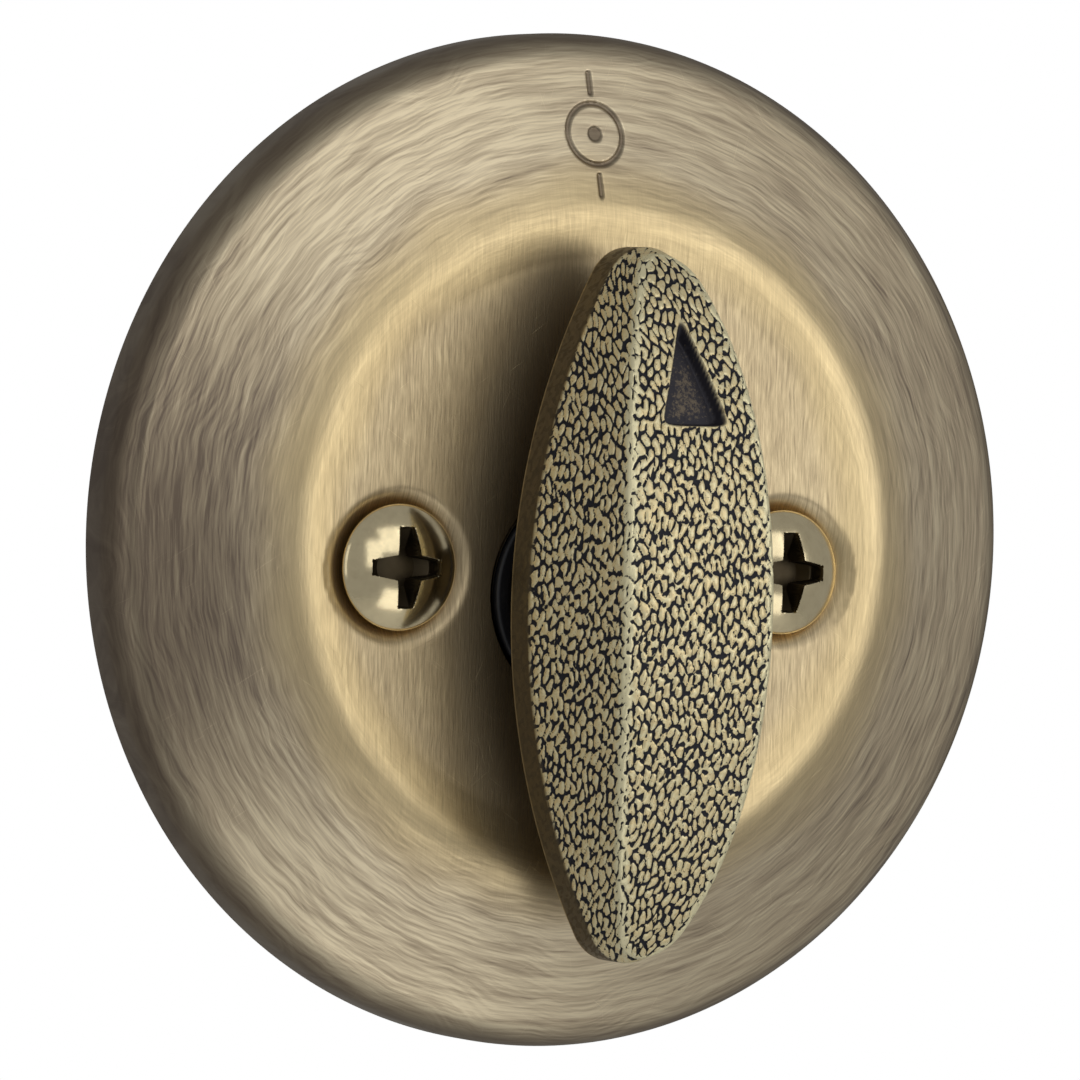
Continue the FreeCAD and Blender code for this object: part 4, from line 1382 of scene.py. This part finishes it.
PLATED = Steel("zinc_plated_plate", (0.60, 0.59, 0.55), (0.42, 0.38, 0.30), Lay.ALONG_Z)

FITTINGS = (
    Fittings(PLATED, ("mounting_plate",)),
    Fittings(BLUED, ("wave_washer", "retaining_ring", "blade_pin", "detent_spring")),
    Fittings(ROLLED, ("torque_blade", "case_channel", "case_cover", "bolt_barrel", "backing_plate", "tail_plates")),
    Fittings(TURNED, ("clamp_posts", "case_rivets", "saw_guard_pins", "tail_rivets", "drive_pin")),
    Fittings(CAST, ("crank",)),
    Fittings(PLATE, ("faceplate",)),
    Fittings(BRIGHT, ("faceplate_screws",)),
    Fittings(BOLT, ("bolt",)),
)


# ---------------------------------------------------------------- studio


@dataclass(frozen=True)
class Lamp:
    """A soft rectangular lamp; its direction is where it stands, as seen from the rose."""

    name: str
    direction: tuple[float, float, float]
    watts: float
    size: Span = (0.36, 0.36)
    distance: float = 0.7

    def place(self, target: Vector) -> None:
        """Adds the lamp, aimed at a point.

        Args:
            target: The point, in metres.
        """
        data = bpy.data.lights.new(self.name, "AREA")
        data.shape = "RECTANGLE"
        data.size, data.size_y = self.size
        data.energy = self.watts
        thing = bpy.data.objects.new(self.name, data)
        bpy.context.scene.collection.objects.link(thing)
        way = Vector(self.direction).normalized()
        aim = (-way).to_track_quat("-Z", "Y").to_matrix().to_4x4()
        thing.matrix_world = Matrix.Translation(target + way * self.distance) @ aim


LAMPS = (
    Lamp("right_front", (0.55, -0.83, 0.05), 0.60),
    Lamp("right_front_high", (0.5, -0.75, 0.45), 0.12),
    Lamp("front_high", (0.1, -0.85, 0.5), 0.30),
    Lamp("front_low", (0.15, -0.72, -0.62), 0.32),
    Lamp("left_side", (-0.9, -0.42, 0.12), 0.22, (0.30, 0.50)),
    Lamp("left_front", (-0.3, -0.93, 0.25), 0.20, (0.22, 0.40)),
)


@dataclass
class Studio:
    """The floor, the lights and the camera."""

    yaw: float = math.radians(28.6)
    rise: float = math.radians(1.28)
    roll: float = math.radians(1.55)
    distance: float = 0.575
    view_width: float = 0.07105
    target: tuple[float, float, float] = (-0.00115, -0.0021, 0.00341)
    floor_drop: float = 0.5
    floor_r: float = 0.7
    floor_sides: int = 48
    lit_colour: Colour = (0.95, 0.97, 1.0)
    lit_strength: float = 0.28
    cut_behind: float = 0.021

    def camera(self) -> None:
        """A long lens to the left of the rose, looking slightly down.

        It is cut off just behind the rose's far rim, so the main view shows the trim as it looks on a door.
        other views that the tools make reset this cut.
        """
        data = bpy.data.cameras.new("main_camera")
        data.sensor_width = 36.0
        data.lens = data.sensor_width * self.distance / self.view_width
        data.clip_start = 0.05
        data.clip_end = self.distance + self.cut_behind
        thing = bpy.data.objects.new("main_camera", data)
        bpy.context.scene.collection.objects.link(thing)
        away = Vector((-math.sin(self.yaw) * math.cos(self.rise), -math.cos(self.yaw) * math.cos(self.rise),
                       math.sin(self.rise)))
        aim = (-away).to_track_quat("-Z", "Y").to_matrix().to_4x4()
        spot = Matrix.Translation(Vector(self.target) + away * self.distance)
        thing.matrix_world = spot @ aim @ Matrix.Rotation(self.roll, 4, "Z")
        bpy.context.scene.camera = thing

    def world(self) -> None:
        """A pale surround, dimmer to what it lights than it looks."""
        world = bpy.data.worlds.new("pale_surround")
        bpy.context.scene.world = world
        world.use_nodes = True
        tree = world.node_tree
        tree.nodes.clear()
        output = tree.nodes.new("ShaderNodeOutputWorld")
        seen = tree.nodes.new("ShaderNodeBackground")
        lit = tree.nodes.new("ShaderNodeBackground")
        path = tree.nodes.new("ShaderNodeLightPath")
        blend = tree.nodes.new("ShaderNodeMixShader")
        seen.inputs[0].default_value = (1.0, 1.0, 1.0, 1.0)
        seen.inputs[1].default_value = 1.0
        lit.inputs[0].default_value = (*self.lit_colour, 1.0)
        lit.inputs[1].default_value = self.lit_strength
        tree.links.new(path.outputs["Is Camera Ray"], blend.inputs[0])
        tree.links.new(lit.outputs[0], blend.inputs[1])
        tree.links.new(seen.outputs[0], blend.inputs[2])
        tree.links.new(blend.outputs[0], output.inputs[0])

    def floor(self) -> None:
        """A wide pale disc below the lowest part."""
        angles = full_turn(self.floor_sides)
        level = np.full(angles.shape, CAD_BOX[0][2] - self.floor_drop)
        points = np.stack([self.floor_r * np.cos(angles), self.floor_r * np.sin(angles), level], axis=-1)
        mesh = bpy.data.meshes.new("pale_floor")
        mesh.from_pydata(points.tolist(), [], [list(range(self.floor_sides))])
        mesh.materials.append(Pale().build())
        thing = bpy.data.objects.new("pale_floor", mesh)
        bpy.context.scene.collection.objects.link(thing)

    def build(self) -> None:
        """Sets the whole studio."""
        scene = bpy.context.scene
        scene.view_settings.view_transform = "Standard"
        self.camera()
        self.world()
        self.floor()
        for lamp in LAMPS:
            lamp.place(Vector(self.target))


# ---------------------------------------------------------------- main


def main() -> None:
    """Builds the pieces in order and reports each one."""
    logging.basicConfig(level=logging.INFO, format="%(message)s")
    for fittings in FITTINGS:
        fittings.dress()
    for assembly in (Rose(), ThumbTurn(), OvalScrews(), Bushing()):
        assembly.build()
    Studio().build()


if __name__ == "__main__":
    main()
